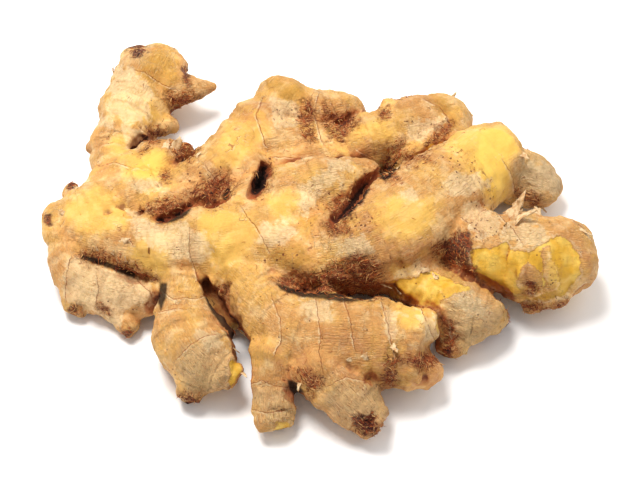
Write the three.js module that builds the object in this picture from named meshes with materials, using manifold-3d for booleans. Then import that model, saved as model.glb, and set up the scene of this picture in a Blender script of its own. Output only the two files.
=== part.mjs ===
// A hand of ginger: one rhizome about 187 mm long, lying flat, with its fingers, stubs and buds grown
// together. Every finger is a centre line with a radius along it. The skin is where the distance to these
// lines, blended where fingers meet, is zero, and it is found on a grid, one face for each crossing.
// Units are millimetres, +Z is up, and the finished root is centred over the origin and stands on z = 0.
import * as THREE from "three";
import { mergeVertices } from "three/addons/utils/BufferGeometryUtils.js";
import { SimplifyModifier } from "three/addons/modifiers/SimplifyModifier.js";
import Module from "manifold-3d";

// Driving dimensions
const GRID = 2; // spacing of the grid that the skin is found on
const TRIANGLES = 11400; // what is kept of the skin, where it bends most
const BLEND = 1.0; // how softly fingers run into each other
const REACH = 9; // a finger is felt this far outside its own skin
const LINE_STEP = 2; // spacing of the points along a centre line
const RING_HEIGHT = 0.8; // how far a leaf scar stands out of the finger
const RING_WIDTH = 1.3; // half width of a leaf scar along the finger
const BELLY = 0.6; // how far the skin swells between two leaf scars
const RING_WANDER = 1.1; // how far a leaf scar strays along the finger
const LUMP_HEIGHT = 0.7; // slow unevenness of the whole root
const TIP_ROUNDING = 0.8; // softness of the edge round a broken tip
const FOLD_ROUNDING = 0.8; // softness of the lips of a fold
const TABLE_CUT = 40; // depth of the block that flattens the resting spots
const SKIN = { color: 0xd9ab6a, roughness: 0.62, metalness: 0 };

// The fingers were laid out as they look from the front, from this far away and this high above the table.
const VIEW_ELEVATION = THREE.MathUtils.degToRad(55);
const VIEW_DISTANCE = 800;
const VIEW_CENTRE = new THREE.Vector3(0, 8, 15);

// Each path is a list of [across, up, lift, radius]: across and up are in that view, from its centre, and
// lift is the height of the centre line over the table. Ring is the spacing of the leaf scars, and 0 leaves
// them out. Tip is how far past the last point the finger was broken off, and 99 leaves a round end.
const LIMBS = {
  "left knob": { "ring": 13, "tip": 99, "path": [
    [-84.5, 5.5, 11, 7.5], [-75, 8, 13, 10.7], [-63.5, 11.5, 14, 11.5], [-54, 14, 15, 8.5]
  ] },
  "body": { "ring": 12, "tip": 99, "path": [
    [-77.5, 3, 12.5, 9.5], [-60, -2.5, 14.5, 11], [-40, -1.5, 17, 13.7], [-23.5, 0.5, 18, 13.7],
    [-9.5, 4, 18, 12.7]
  ] },
  "inner finger": { "ring": 10, "tip": 99, "path": [
    [-19.5, 8.5, 18, 12.7], [-5, 14.5, 19.5, 12.2], [6.5, 17, 19.5, 10], [15, 21, 18.5, 6]
  ] },
  "back finger": { "ring": 12, "tip": 99, "path": [
    [-15, 24, 13, 7.5], [1.5, 28, 13, 7.3], [18.5, 33, 12, 9.8], [31.5, 37, 11.5, 10.5],
    [40, 38.7, 9.5, 9.5]
  ] },
  "right body": { "ring": 14, "tip": 99, "path": [
    [-11.5, -6, 18, 9.7], [5, -4.5, 20.5, 13.2], [21.5, 1.5, 21, 16.7], [36.5, 11.5, 20.5, 15.7],
    [49.5, 22, 18, 13.7], [56, 26.5, 16, 12]
  ] },
  "right finger": { "ring": 13, "tip": 99, "path": [
    [43.5, 2.5, 17, 10], [56.5, -3.5, 17, 12.5], [70, -6, 17, 14.2], [79.5, -5.5, 16, 13]
  ] },
  "right foot": { "ring": 0, "tip": 5, "path": [[73.5, -12.5, 12, 9.5], [75, -18, 8, 8.4]] },
  "far stub": { "ring": 7, "tip": 99, "path": [
    [60, 24, 10, 7.7], [70, 19.5, 8.5, 8.7], [76, 18.5, 8, 5.2]
  ] },
  "lower right finger": { "ring": 9, "tip": 99, "path": [
    [25, -9.5, 15, 8], [35, -16, 13, 8.7], [45, -23, 12, 10.4], [53.5, -25, 11, 7.8],
    [58.5, -25.5, 10, 2.7]
  ] },
  "lower right lobe": { "ring": 0, "tip": 3, "path": [[45, -28.5, 9, 6.5], [43, -36, 6, 5]] },
  "front finger": { "ring": 11.5, "tip": 3, "path": [
    [-29.5, -10.5, 16.5, 8], [-18.5, -21.5, 16.5, 10.6], [-5.3, -32.3, 15.5, 13.2],
    [10, -34, 14.5, 15.2], [25, -35, 14, 13.7], [32, -36.5, 13.5, 12.5]
  ] },
  "front end low": { "ring": 0, "tip": 3, "path": [[33.5, -42.5, 11, 6.5], [36.5, -44.5, 9, 5.6]] },
  "front end high": { "ring": 0, "tip": 1.5, "path": [[34, -29.5, 18.5, 5.4], [37, -28.5, 18.5, 5]] },
  "left toe": { "ring": 9, "tip": 1.5, "path": [
    [-14.5, -38.5, 13, 8.7], [-15.5, -47.5, 9, 6.9], [-16, -56, 6.5, 6.9], [-15, -61.3, 5.5, 5.5]
  ] },
  "right toe": { "ring": 8, "tip": 1.5, "path": [
    [-0.5, -42.5, 14, 10], [8.5, -51.5, 10.5, 9.5], [15.5, -57.5, 8, 7.5], [19, -61, 6.5, 6]
  ] },
  "toe bud": { "ring": 0, "tip": 99, "path": [[-5.5, -44, 9, 4], [-3.5, -48, 7, 2.4]] },
  "near finger": { "ring": 9, "tip": 99, "path": [
    [-45, -15, 15, 6.3], [-46, -24.5, 13, 8.7], [-43.5, -34, 12.3, 11.4], [-39.3, -39.2, 11.2, 10.6]
  ] },
  "near stub": { "ring": 0, "tip": 0.5, "path": [[-42.5, -45, 8, 6.2], [-44.4, -53, 4.4, 4.3]] },
  "near broken end": { "ring": 0, "tip": 0.8, "path": [[-31.5, -44, 11, 6.7], [-27.5, -46.5, 10, 4]] },
  "near bud": { "ring": 0, "tip": 99, "path": [[-34, -28.5, 13, 3.2], [-31.8, -30.2, 11.5, 1.8]] },
  "corner finger": { "ring": 8, "tip": 99, "path": [
    [-85.5, 0.5, 11, 5.8], [-83, -9, 10, 6.3], [-75, -15.3, 8.5, 6.6], [-63.5, -18.2, 8.3, 6.7],
    [-58.5, -19, 8.5, 5.6]
  ] },
  "corner bud left": { "ring": 0, "tip": 1, "path": [[-80.5, -18.5, 6, 4.8], [-82, -23.5, 3.5, 3.5]] },
  "corner bud right": { "ring": 5, "tip": 1, "path": [
    [-72, -20.5, 6, 4.4], [-67, -26, 4, 3.1], [-62.8, -29.8, 2.8, 2.8]
  ] },
  "top finger": { "ring": 12, "tip": 99, "path": [
    [-69.5, 16.5, 13, 8], [-68.5, 27.5, 12, 6.7], [-64.5, 38, 11, 9.7], [-60.5, 46.5, 10.6, 11.1],
    [-56.5, 54, 10.6, 10.4], [-54, 57.5, 10.6, 8]
  ] },
  "top bud left": { "ring": 0, "tip": 0.6, "path": [[-60.5, 59.5, 13, 3.6], [-62.5, 62.5, 14, 3]] },
  "top bud right": { "ring": 0, "tip": 1, "path": [[-48.5, 56.5, 12, 4], [-46, 59.5, 12.5, 2.6]] },
  "top horn": { "ring": 0, "tip": 99, "path": [
    [-51.5, 49.5, 12, 7], [-43.5, 50.5, 12, 4.2], [-35.7, 51, 12, 0.9]
  ] },
  "top bud low": { "ring": 0, "tip": 99, "path": [[-55, 38.5, 9, 4.7], [-49.5, 37.7, 8, 2.4]] },
  "top bud side": { "ring": 0, "tip": 99, "path": [[-72, 33, 10, 4.7], [-74.7, 32, 9, 2.8]] },
  "scar lobe": { "ring": 0, "tip": 1, "path": [
    [-66, 18, 14, 9.3], [-56.5, 23.5, 14, 9], [-49.5, 27, 12, 6.2], [-44, 29, 11, 3.6]
  ] },
  "upper finger": { "ring": 12, "tip": 99, "path": [
    [-52.5, 12.5, 17, 6.5], [-44.5, 16.5, 18, 8.2], [-34, 23.5, 18, 9.4], [-23.5, 33.5, 16, 9.8],
    [-12.5, 44.3, 14, 9.5]
  ] },
  "upper knob": { "ring": 6.5, "tip": 99, "path": [
    [-6.5, 41, 13, 7.9], [1.5, 42, 12, 7.4], [8.5, 43.5, 12, 5.4], [12, 42, 12, 3]
  ] },
  "upper bud": { "ring": 0, "tip": 99, "path": [[-36.5, 16.5, 17, 3.4], [-34.5, 12.3, 16, 1.9]] },
  "back bud": { "ring": 0, "tip": 99, "path": [[22.5, 41.5, 17, 3], [22, 44, 17, 2.7]] },
  "knob bud top": { "ring": 0, "tip": 0.8, "path": [[-82.5, 15.5, 12, 3.5], [-82.5, 18.2, 12, 2.7]] },
  "knob bud side": { "ring": 0, "tip": 0.8, "path": [[-87, 6, 11, 4.2], [-90, 7, 10, 3.6]] },
  "brow bud": { "ring": 0, "tip": 99, "path": [[1, -22, 18.5, 4.4], [2, -18.6, 18.5, 3.4]] },
  "shoulder": { "ring": 0, "tip": 99, "path": [
    [28, 26, 10, 6.5], [35, 29.5, 10.5, 7.5], [43, 33, 10.5, 8]
  ] },
  "web": { "ring": 0, "tip": 99, "path": [[-12, 26, 13, 6], [-3, 25.5, 14.5, 7.5], [7, 26, 14, 6]] },
  "junction": { "ring": 0, "tip": 99, "path": [
    [-22, -4, 17, 12.3], [-9, -5, 18, 13.3], [4, -6, 18, 12.5]
  ] },
  "saddle": { "ring": 0, "tip": 99, "path": [[-18, 30, 15, 9.5], [-9, 32, 15, 8.5], [1, 32.5, 13, 6.3]] },
  "under stub": { "ring": 0, "tip": 99, "path": [[-22, -3, 12, 8.5], [-20, -9, 7, 7.2]] },
  "bridge": { "ring": 0, "tip": 99, "path": [
    [-34, 21, 16, 7.5], [-29.5, 16, 16.5, 7.5], [-25.5, 9, 17, 8]
  ] },
  "gap web": { "ring": 0, "tip": 99, "path": [[-40, -18, 7, 5], [-33.5, -21, 6, 5], [-30, -26, 5, 4.5]] },
  "pit side": { "ring": 0, "tip": 99, "path": [
    [-29, 26, 17, 7.5], [-23.5, 23.5, 19, 7.5], [-21, 18, 19, 7.5]
  ] },
  "corner nub high": { "ring": 0, "tip": 99, "path": [[-58, -16.5, 10, 4], [-54.5, -14.8, 10.5, 2.6]] },
  "corner nub low": { "ring": 0, "tip": 99, "path": [[-58, -21, 7, 3.8], [-54.2, -22, 7, 2.4]] },
  "corner web": { "ring": 0, "tip": 99, "path": [
    [-80, -5, 6, 5.5], [-70, -8.5, 6, 5.5], [-59, -12, 6, 5.5]
  ] },
  "flank web": { "ring": 0, "tip": 99, "path": [
    [36, -7, 12, 6.5], [43, -8.5, 11.5, 6.5], [49, -10, 10, 5.5]
  ] },
  "crease fill": { "ring": 0, "tip": 99, "path": [
    [-60, 10.5, 17, 5.5], [-50, 10, 20, 6], [-40, 13.5, 21, 6]
  ] },
};

// Folds are cut back out of the root where two fingers press together. Their rows are those of the fingers.
const FOLDS = {
  "slit": [
    [3.8, 5.3, 33.6, 0.8], [5.6, 8.2, 33.2, 2.2], [7.8, 11, 32.8, 3], [11.7, 15.1, 31.5, 3.2],
    [14.9, 19, 28.5, 3], [18.5, 22, 28, 2.6], [22.6, 24.5, 26, 2.4]
  ],
  "slit floor": [
    [5.8, 6.6, 31, 1.1], [9.2, 9.8, 29, 2.2], [12.8, 13.9, 26, 2.5], [16.3, 17.9, 23, 2.4],
    [20.6, 21.5, 21, 2.2], [24.4, 24.7, 17, 2.2]
  ],
  "pit": [[-22.5, 15, 30, 1.8], [-20.5, 19, 29.5, 2.6], [-18.7, 23, 29, 2.6], [-17.5, 26, 26, 2.2]],
  "pit floor": [[-21, 17, 25.5, 1.4], [-19.7, 20, 23, 2], [-18.7, 23, 22, 2.2]],
  "long crease": [
    [-56, 7.9, 25.5, 1.2], [-52, 7.8, 26.5, 2], [-48, 9.2, 28.3, 2.1], [-44.6, 12, 28.3, 2.1],
    [-40, 13.5, 28, 2.1], [-36, 12.2, 29.5, 2.1], [-33, 14.8, 29.5, 2], [-30.8, 18, 27.5, 1.4]
  ],
  "long crease floor": [
    [-52, 6.6, 23.5, 1.3], [-46, 8.6, 25.5, 1.6], [-40, 11.9, 25, 1.6], [-36, 10.6, 26.5, 1.6],
    [-32, 13.4, 26.5, 1.3]
  ]
};

// The view's own directions, as seen from the front
const viewForward = new THREE.Vector3(0, Math.cos(VIEW_ELEVATION), -Math.sin(VIEW_ELEVATION));
const viewUp = new THREE.Vector3(0, Math.sin(VIEW_ELEVATION), Math.cos(VIEW_ELEVATION));
const viewEye = VIEW_CENTRE.clone().addScaledVector(viewForward, -VIEW_DISTANCE);

// Takes a point of the layout down its line of sight to its lift, and scales its radius by the same share.
function placed([across, up, lift, radius]) {
  const aim = VIEW_CENTRE.clone().addScaledVector(viewUp, up);
  aim.x += across;
  const sight = aim.sub(viewEye);
  const share = (lift - viewEye.z) / sight.z;
  return { point: viewEye.clone().addScaledVector(sight, share), radius: radius * share };
}

// A finger as short straight pieces from the smooth curve through its points.
function fingerPieces({ path, ring, tip }) {
  const knots = path.map(placed);
  const line = new THREE.CatmullRomCurve3(knots.map((k) => k.point), false, "catmullrom");
  const girth = new THREE.CatmullRomCurve3(
    knots.map((k) => new THREE.Vector3(k.radius, 0, 0)), false, "catmullrom");
  const pieces = [];
  let travelled = 0;
  for (let span = 0; span + 1 < knots.length; span++) {
    const length = knots[span].point.distanceTo(knots[span + 1].point);
    const steps = Math.max(2, Math.floor(length / LINE_STEP));
    for (let step = 0; step < steps; step++) {
      const [t0, t1] = [step, step + 1].map((n) => (span + n / steps) / (knots.length - 1));
      const [from, to] = [line.getPoint(t0), line.getPoint(t1)];
      const run = to.clone().sub(from);
      const long = run.length();
      pieces.push({ from, run, long, at: travelled, r0: girth.getPoint(t0).x, r1: girth.getPoint(t1).x });
      travelled += long;
    }
  }
  const box = new THREE.Box3();
  for (const { from, run, r0, r1 } of pieces) {
    const reach = Math.max(r0, r1) + REACH;
    for (const end of [from, from.clone().add(run)]) {
      box.expandByPoint(end.clone().subScalar(reach)).expandByPoint(end.clone().addScalar(reach));
    }
  }
  const last = pieces[pieces.length - 1];
  const end = last.from.clone().add(last.run);
  const heading = last.run.clone().normalize();
  return { pieces, ring, box, end, heading, tip, length: travelled };
}
const fingers = Object.values(LIMBS).map(fingerPieces);
const folds = Object.values(FOLDS).map((path) => fingerPieces({ path, ring: 0, tip: 99 }));

// Leaf scars: a low ridge at every ring, and skin that swells a little between them.
function ringRelief(distance, spacing, { x, y, z }) {
  if (!spacing) return 0;
  const wander = RING_WANDER * Math.sin(0.21 * x + 0.27 * z) * Math.cos(0.19 * y - 0.16 * z);
  const phase = (distance + wander) / spacing - 0.5;
  const off = (phase - Math.round(phase)) * spacing;
  return RING_HEIGHT * Math.exp(-((off / RING_WIDTH) ** 2)) - BELLY * Math.cos(2 * Math.PI * phase);
}

// Slow lumps over the whole root
function lumps({ x, y, z }) {
  const broad = Math.sin(0.31 * x + 1.3) * Math.sin(0.27 * y + 0.4);
  const slanting = Math.sin(0.23 * y - 0.35 * z + 2.1) * Math.sin(0.33 * z + 0.19 * x);
  const warped = Math.sin(0.66 * x + 1.9 * broad) * Math.sin(0.59 * y - 2.3 * slanting);
  const small = warped * Math.cos(0.51 * z + broad);
  return LUMP_HEIGHT * (broad + slanting + 0.7 * small);
}

const offset = new THREE.Vector3();

// How far a point is outside one finger's skin, negative inside.
function fingerDistance(finger, point) {
  let nearest = Infinity;
  let along = 0;
  for (const { from, run, long, at, r0, r1 } of finger.pieces) {
    offset.subVectors(point, from);
    const t = THREE.MathUtils.clamp(offset.dot(run) / (long * long), 0, 1);
    const gap = offset.addScaledVector(run, -t).length() - (r0 + t * (r1 - r0));
    if (gap < nearest) [nearest, along] = [gap, at + t * long];
  }
  nearest -= ringRelief(along, finger.ring, point);
  const past = offset.subVectors(point, finger.end).dot(finger.heading) - finger.tip;
  return 0.5 * (nearest + past + Math.hypot(nearest - past, TIP_ROUNDING));
}

// How far a point is outside several fingers or folds that run softly into each other.
function blendedDistance(members, point) {
  let sum = 1e-12;
  for (const member of members) {
    if (member.box.containsPoint(point)) {
      sum += Math.exp(-THREE.MathUtils.clamp(fingerDistance(member, point), -60, 60) / BLEND);
    }
  }
  return -BLEND * Math.log(sum);
}

// The whole root: the fingers with the lumps, less the folds.
function rootDistance(point) {
  const outside = blendedDistance(fingers, point) - lumps(point);
  const fold = blendedDistance(folds, point);
  return 0.5 * (outside - fold + Math.hypot(outside + fold, FOLD_ROUNDING));
}

// The direction in which rootDistance grows, with its slope
function rootSlope(point) {
  const step = 0.05;
  const probe = point.clone();
  const slope = new THREE.Vector3();
  for (const axis of ["x", "y", "z"]) {
    probe[axis] = point[axis] + step;
    const ahead = rootDistance(probe);
    probe[axis] = point[axis] - step;
    slope[axis] = (ahead - rootDistance(probe)) / (2 * step);
    probe[axis] = point[axis];
  }
  return slope;
}

// Two sheets of skin would meet in one line where the corners of a grid square are by turns inside and
// outside, which happens at the bottom of a narrow crease. There an outer corner is taken in, and the
// crease ends sooner.
function fillPinches(values, [nx, ny, nz], strides) {
  let found = true;
  while (found) {
    found = false;
    for (let k = 0; k + 1 < nz; k++)
      for (let j = 0; j + 1 < ny; j++)
        for (let i = 0; i + 1 < nx; i++)
          for (let axis = 0; axis < 3; axis++) {
            const start = i * strides[0] + j * strides[1] + k * strides[2];
            const [u, v] = [strides[(axis + 1) % 3], strides[(axis + 2) % 3]];
            const [a, b, c, d] = [start, start + u, start + v, start + u + v].map((at) => values[at] < 0);
            if (a !== d || b !== c || a === b) continue;
            values[a ? start + u : start] = -0.1;
            found = true;
          }
  }
}

// Finds the skin on the grid: one point in each cell that it passes through, and one square of two
// triangles for each grid line that it crosses, wound so that its faces point out.
function skinGeometry() {
  const bounds = new THREE.Box3();
  for (const { box } of fingers) bounds.union(box);
  const low = bounds.min.clone().divideScalar(GRID).floor().multiplyScalar(GRID);
  const count = bounds.max.clone().sub(low).divideScalar(GRID).ceil().addScalar(1).toArray();
  const [nx, ny, nz] = count;
  const strides = [1, nx, nx * ny];
  const spot = (i, j, k) => i + nx * (j + ny * k);
  const corner = (i, j, k) => new THREE.Vector3(i, j, k).multiplyScalar(GRID).add(low);
  const values = new Float64Array(nx * ny * nz);
  for (let k = 0; k < nz; k++)
    for (let j = 0; j < ny; j++)
      for (let i = 0; i < nx; i++) values[spot(i, j, k)] = rootDistance(corner(i, j, k));
  fillPinches(values, count, strides);

  const pointOf = new Map();
  const positions = [];
  for (let k = 0; k + 1 < nz; k++)
    for (let j = 0; j + 1 < ny; j++)
      for (let i = 0; i + 1 < nx; i++) {
        const sum = new THREE.Vector3();
        let crossings = 0;
        for (let axis = 0; axis < 3; axis++)
          for (let side = 0; side < 4; side++) {
            const from = [0, 0, 0];
            from[(axis + 1) % 3] = side & 1;
            from[(axis + 2) % 3] = side >> 1;
            const start = spot(i + from[0], j + from[1], k + from[2]);
            const [a, b] = [values[start], values[start + strides[axis]]];
            if (a < 0 === b < 0) continue;
            from[axis] = a / (a - b);
            sum.add(new THREE.Vector3(...from));
            crossings++;
          }
        if (!crossings) continue;
        pointOf.set(spot(i, j, k), positions.length);
        positions.push(sum.divideScalar(crossings).multiplyScalar(GRID).add(corner(i, j, k)));
      }
  for (const point of positions)
    for (let pass = 0; pass < 3; pass++) {
      const slope = rootSlope(point);
      const pull = THREE.MathUtils.clamp(-rootDistance(point) / Math.max(slope.lengthSq(), 0.2), -0.5, 0.5);
      point.addScaledVector(slope, pull);
    }

  const indices = [];
  const square = (a, b, c, d) => {
    const across = positions[a].distanceTo(positions[c]) < positions[b].distanceTo(positions[d]);
    indices.push(...(across ? [a, b, c, a, c, d] : [b, c, d, b, d, a]));
  };
  for (let k = 1; k + 1 < nz; k++)
    for (let j = 1; j + 1 < ny; j++)
      for (let i = 1; i + 1 < nx; i++) {
        const here = spot(i, j, k);
        for (let axis = 0; axis < 3; axis++) {
          const [a, b] = [values[here], values[here + strides[axis]]];
          if (a < 0 === b < 0) continue;
          const [u, v] = [strides[(axis + 1) % 3], strides[(axis + 2) % 3]];
          const round = [here - u - v, here - v, here, here - u].map((cell) => pointOf.get(cell));
          square(...(a < 0 ? round : round.reverse()));
        }
      }
  const geometry = new THREE.BufferGeometry();
  const flat = positions.flatMap((p) => p.toArray());
  geometry.setAttribute("position", new THREE.Float32BufferAttribute(flat, 3));
  geometry.setIndex(indices);
  return geometry;
}

const wasm = await Module();
wasm.setup();

// A closed three.js geometry as a solid
function solidOf(geometry) {
  const bare = new THREE.BufferGeometry().setAttribute("position", geometry.getAttribute("position"));
  const merged = mergeVertices(bare.setIndex(geometry.index), 1e-4);
  return new wasm.Manifold(new wasm.Mesh({
    numProp: 3,
    vertProperties: merged.attributes.position.array,
    triVerts: new Uint32Array(merged.index.array),
  }));
}

// A solid as a three.js geometry
function geometryOf(solid) {
  const { numProp, vertProperties, triVerts } = solid.getMesh();
  const points = new Float32Array((vertProperties.length / numProp) * 3);
  for (let i = 0; i < points.length / 3; i++) {
    points.set(vertProperties.subarray(i * numProp, i * numProp + 3), i * 3);
  }
  const geometry = new THREE.BufferGeometry();
  geometry.setAttribute("position", new THREE.BufferAttribute(points, 3));
  geometry.setIndex(new THREE.BufferAttribute(new Uint32Array(triVerts), 1));
  return geometry;
}

// The skin with fewer triangles, long along the ridges and few where it is even
const fine = skinGeometry();
const spare = fine.getAttribute("position").count - TRIANGLES / 2;
const skin = await new SimplifyModifier().modify(fine, spare);

// Where the root would sink into the table, it is cut flat, and these are the spots that it rests on.
const table = new THREE.BoxGeometry(400, 400, TABLE_CUT).translate(0, 0, -TABLE_CUT / 2);
const geometry = geometryOf(solidOf(skin).subtract(solidOf(table)));
geometry.computeBoundingBox();
const middle = geometry.boundingBox.getCenter(new THREE.Vector3());
geometry.translate(-middle.x, -middle.y, 0);
geometry.computeVertexNormals();

const root = new THREE.Mesh(geometry, new THREE.MeshStandardMaterial(SKIN));
root.name = "ginger_root";
const ginger = new THREE.Group();
ginger.add(root);
export default ginger;
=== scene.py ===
# %% [markdown]
# # A hand of ginger
# Ginger is a rhizome: a stem that creeps under the ground. It grows in fingers, each finger in short
# lengths between leaf scars, and a thin papery skin covers it all. The CAD part gives the real size and the
# place of every finger. This script makes the fine surface over it, with the skin, the worn yellow patches
# and the fibres that the eye reads.

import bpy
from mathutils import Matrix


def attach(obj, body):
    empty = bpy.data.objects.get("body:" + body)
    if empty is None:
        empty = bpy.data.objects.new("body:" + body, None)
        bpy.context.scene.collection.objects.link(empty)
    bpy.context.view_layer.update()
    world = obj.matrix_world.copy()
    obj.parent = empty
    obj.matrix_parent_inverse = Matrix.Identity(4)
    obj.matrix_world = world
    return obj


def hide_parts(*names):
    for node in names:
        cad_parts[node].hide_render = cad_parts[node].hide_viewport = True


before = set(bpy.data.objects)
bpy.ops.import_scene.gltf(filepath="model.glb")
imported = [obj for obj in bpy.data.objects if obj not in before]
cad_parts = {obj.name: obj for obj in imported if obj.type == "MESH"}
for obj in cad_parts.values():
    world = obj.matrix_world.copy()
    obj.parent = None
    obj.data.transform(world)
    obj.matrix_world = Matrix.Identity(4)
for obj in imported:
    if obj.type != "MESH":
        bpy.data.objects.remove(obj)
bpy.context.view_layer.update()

# %% Modules
import itertools
import math

import bpy
import numpy as np
from mathutils import Vector

# %% [markdown]
# ## The camera
# The photograph looks down on the root from the front. The camera comes first, because the fingers are laid
# out as they look from here: across and up in this view, in millimetres. The lens is as long as it is so
# that the root fills the picture from well away, which keeps its near and far fingers in the same
# proportion as in the photograph.

# %% Camera
VIEW_ELEVATION = math.radians(55)
VIEW_DISTANCE = 800.0
VIEW_CENTRE = np.array([0.0, 8.0, 15.0])
PICTURE_PIXELS = (640, 480)
PICTURE_WIDTH = PICTURE_PIXELS[0] / 3  # millimetres across the view at its centre
PIXEL = PICTURE_WIDTH / PICTURE_PIXELS[0]
SENSOR_WIDTH = 36
MM = 0.001

view_forward = np.array([0.0, math.cos(VIEW_ELEVATION), -math.sin(VIEW_ELEVATION)])
view_up = np.array([0.0, math.sin(VIEW_ELEVATION), math.cos(VIEW_ELEVATION)])
view_right = np.array([1.0, 0.0, 0.0])
view_eye = VIEW_CENTRE - VIEW_DISTANCE * view_forward

camera_data = bpy.data.cameras.new("camera")
camera = bpy.data.objects.new("camera", camera_data)
bpy.context.collection.objects.link(camera)
camera_data.sensor_width = SENSOR_WIDTH
camera_data.lens = SENSOR_WIDTH * VIEW_DISTANCE / PICTURE_WIDTH
camera_data.clip_end = 20
camera.rotation_mode = "QUATERNION"
camera.rotation_quaternion = Vector(view_forward).to_track_quat("-Z", "Y")
bpy.context.scene.camera = camera
print("lens", round(camera_data.lens, 1), "mm")

# %% [markdown]
# ## The fingers
# Each finger is a centre line with a radius at every point. The table is the part's own: the place of a
# point is how far across and up it is in the view, and how high its centre is over the table, all in
# millimetres. Ring is the spacing of the leaf scars, and tip is how far past the last point the finger was
# broken off. A finger without a ring has no leaf scars, and one without a tip has a round end. The folds
# are cut back out of the root where two fingers press together, and their rows are those of the fingers.

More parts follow.
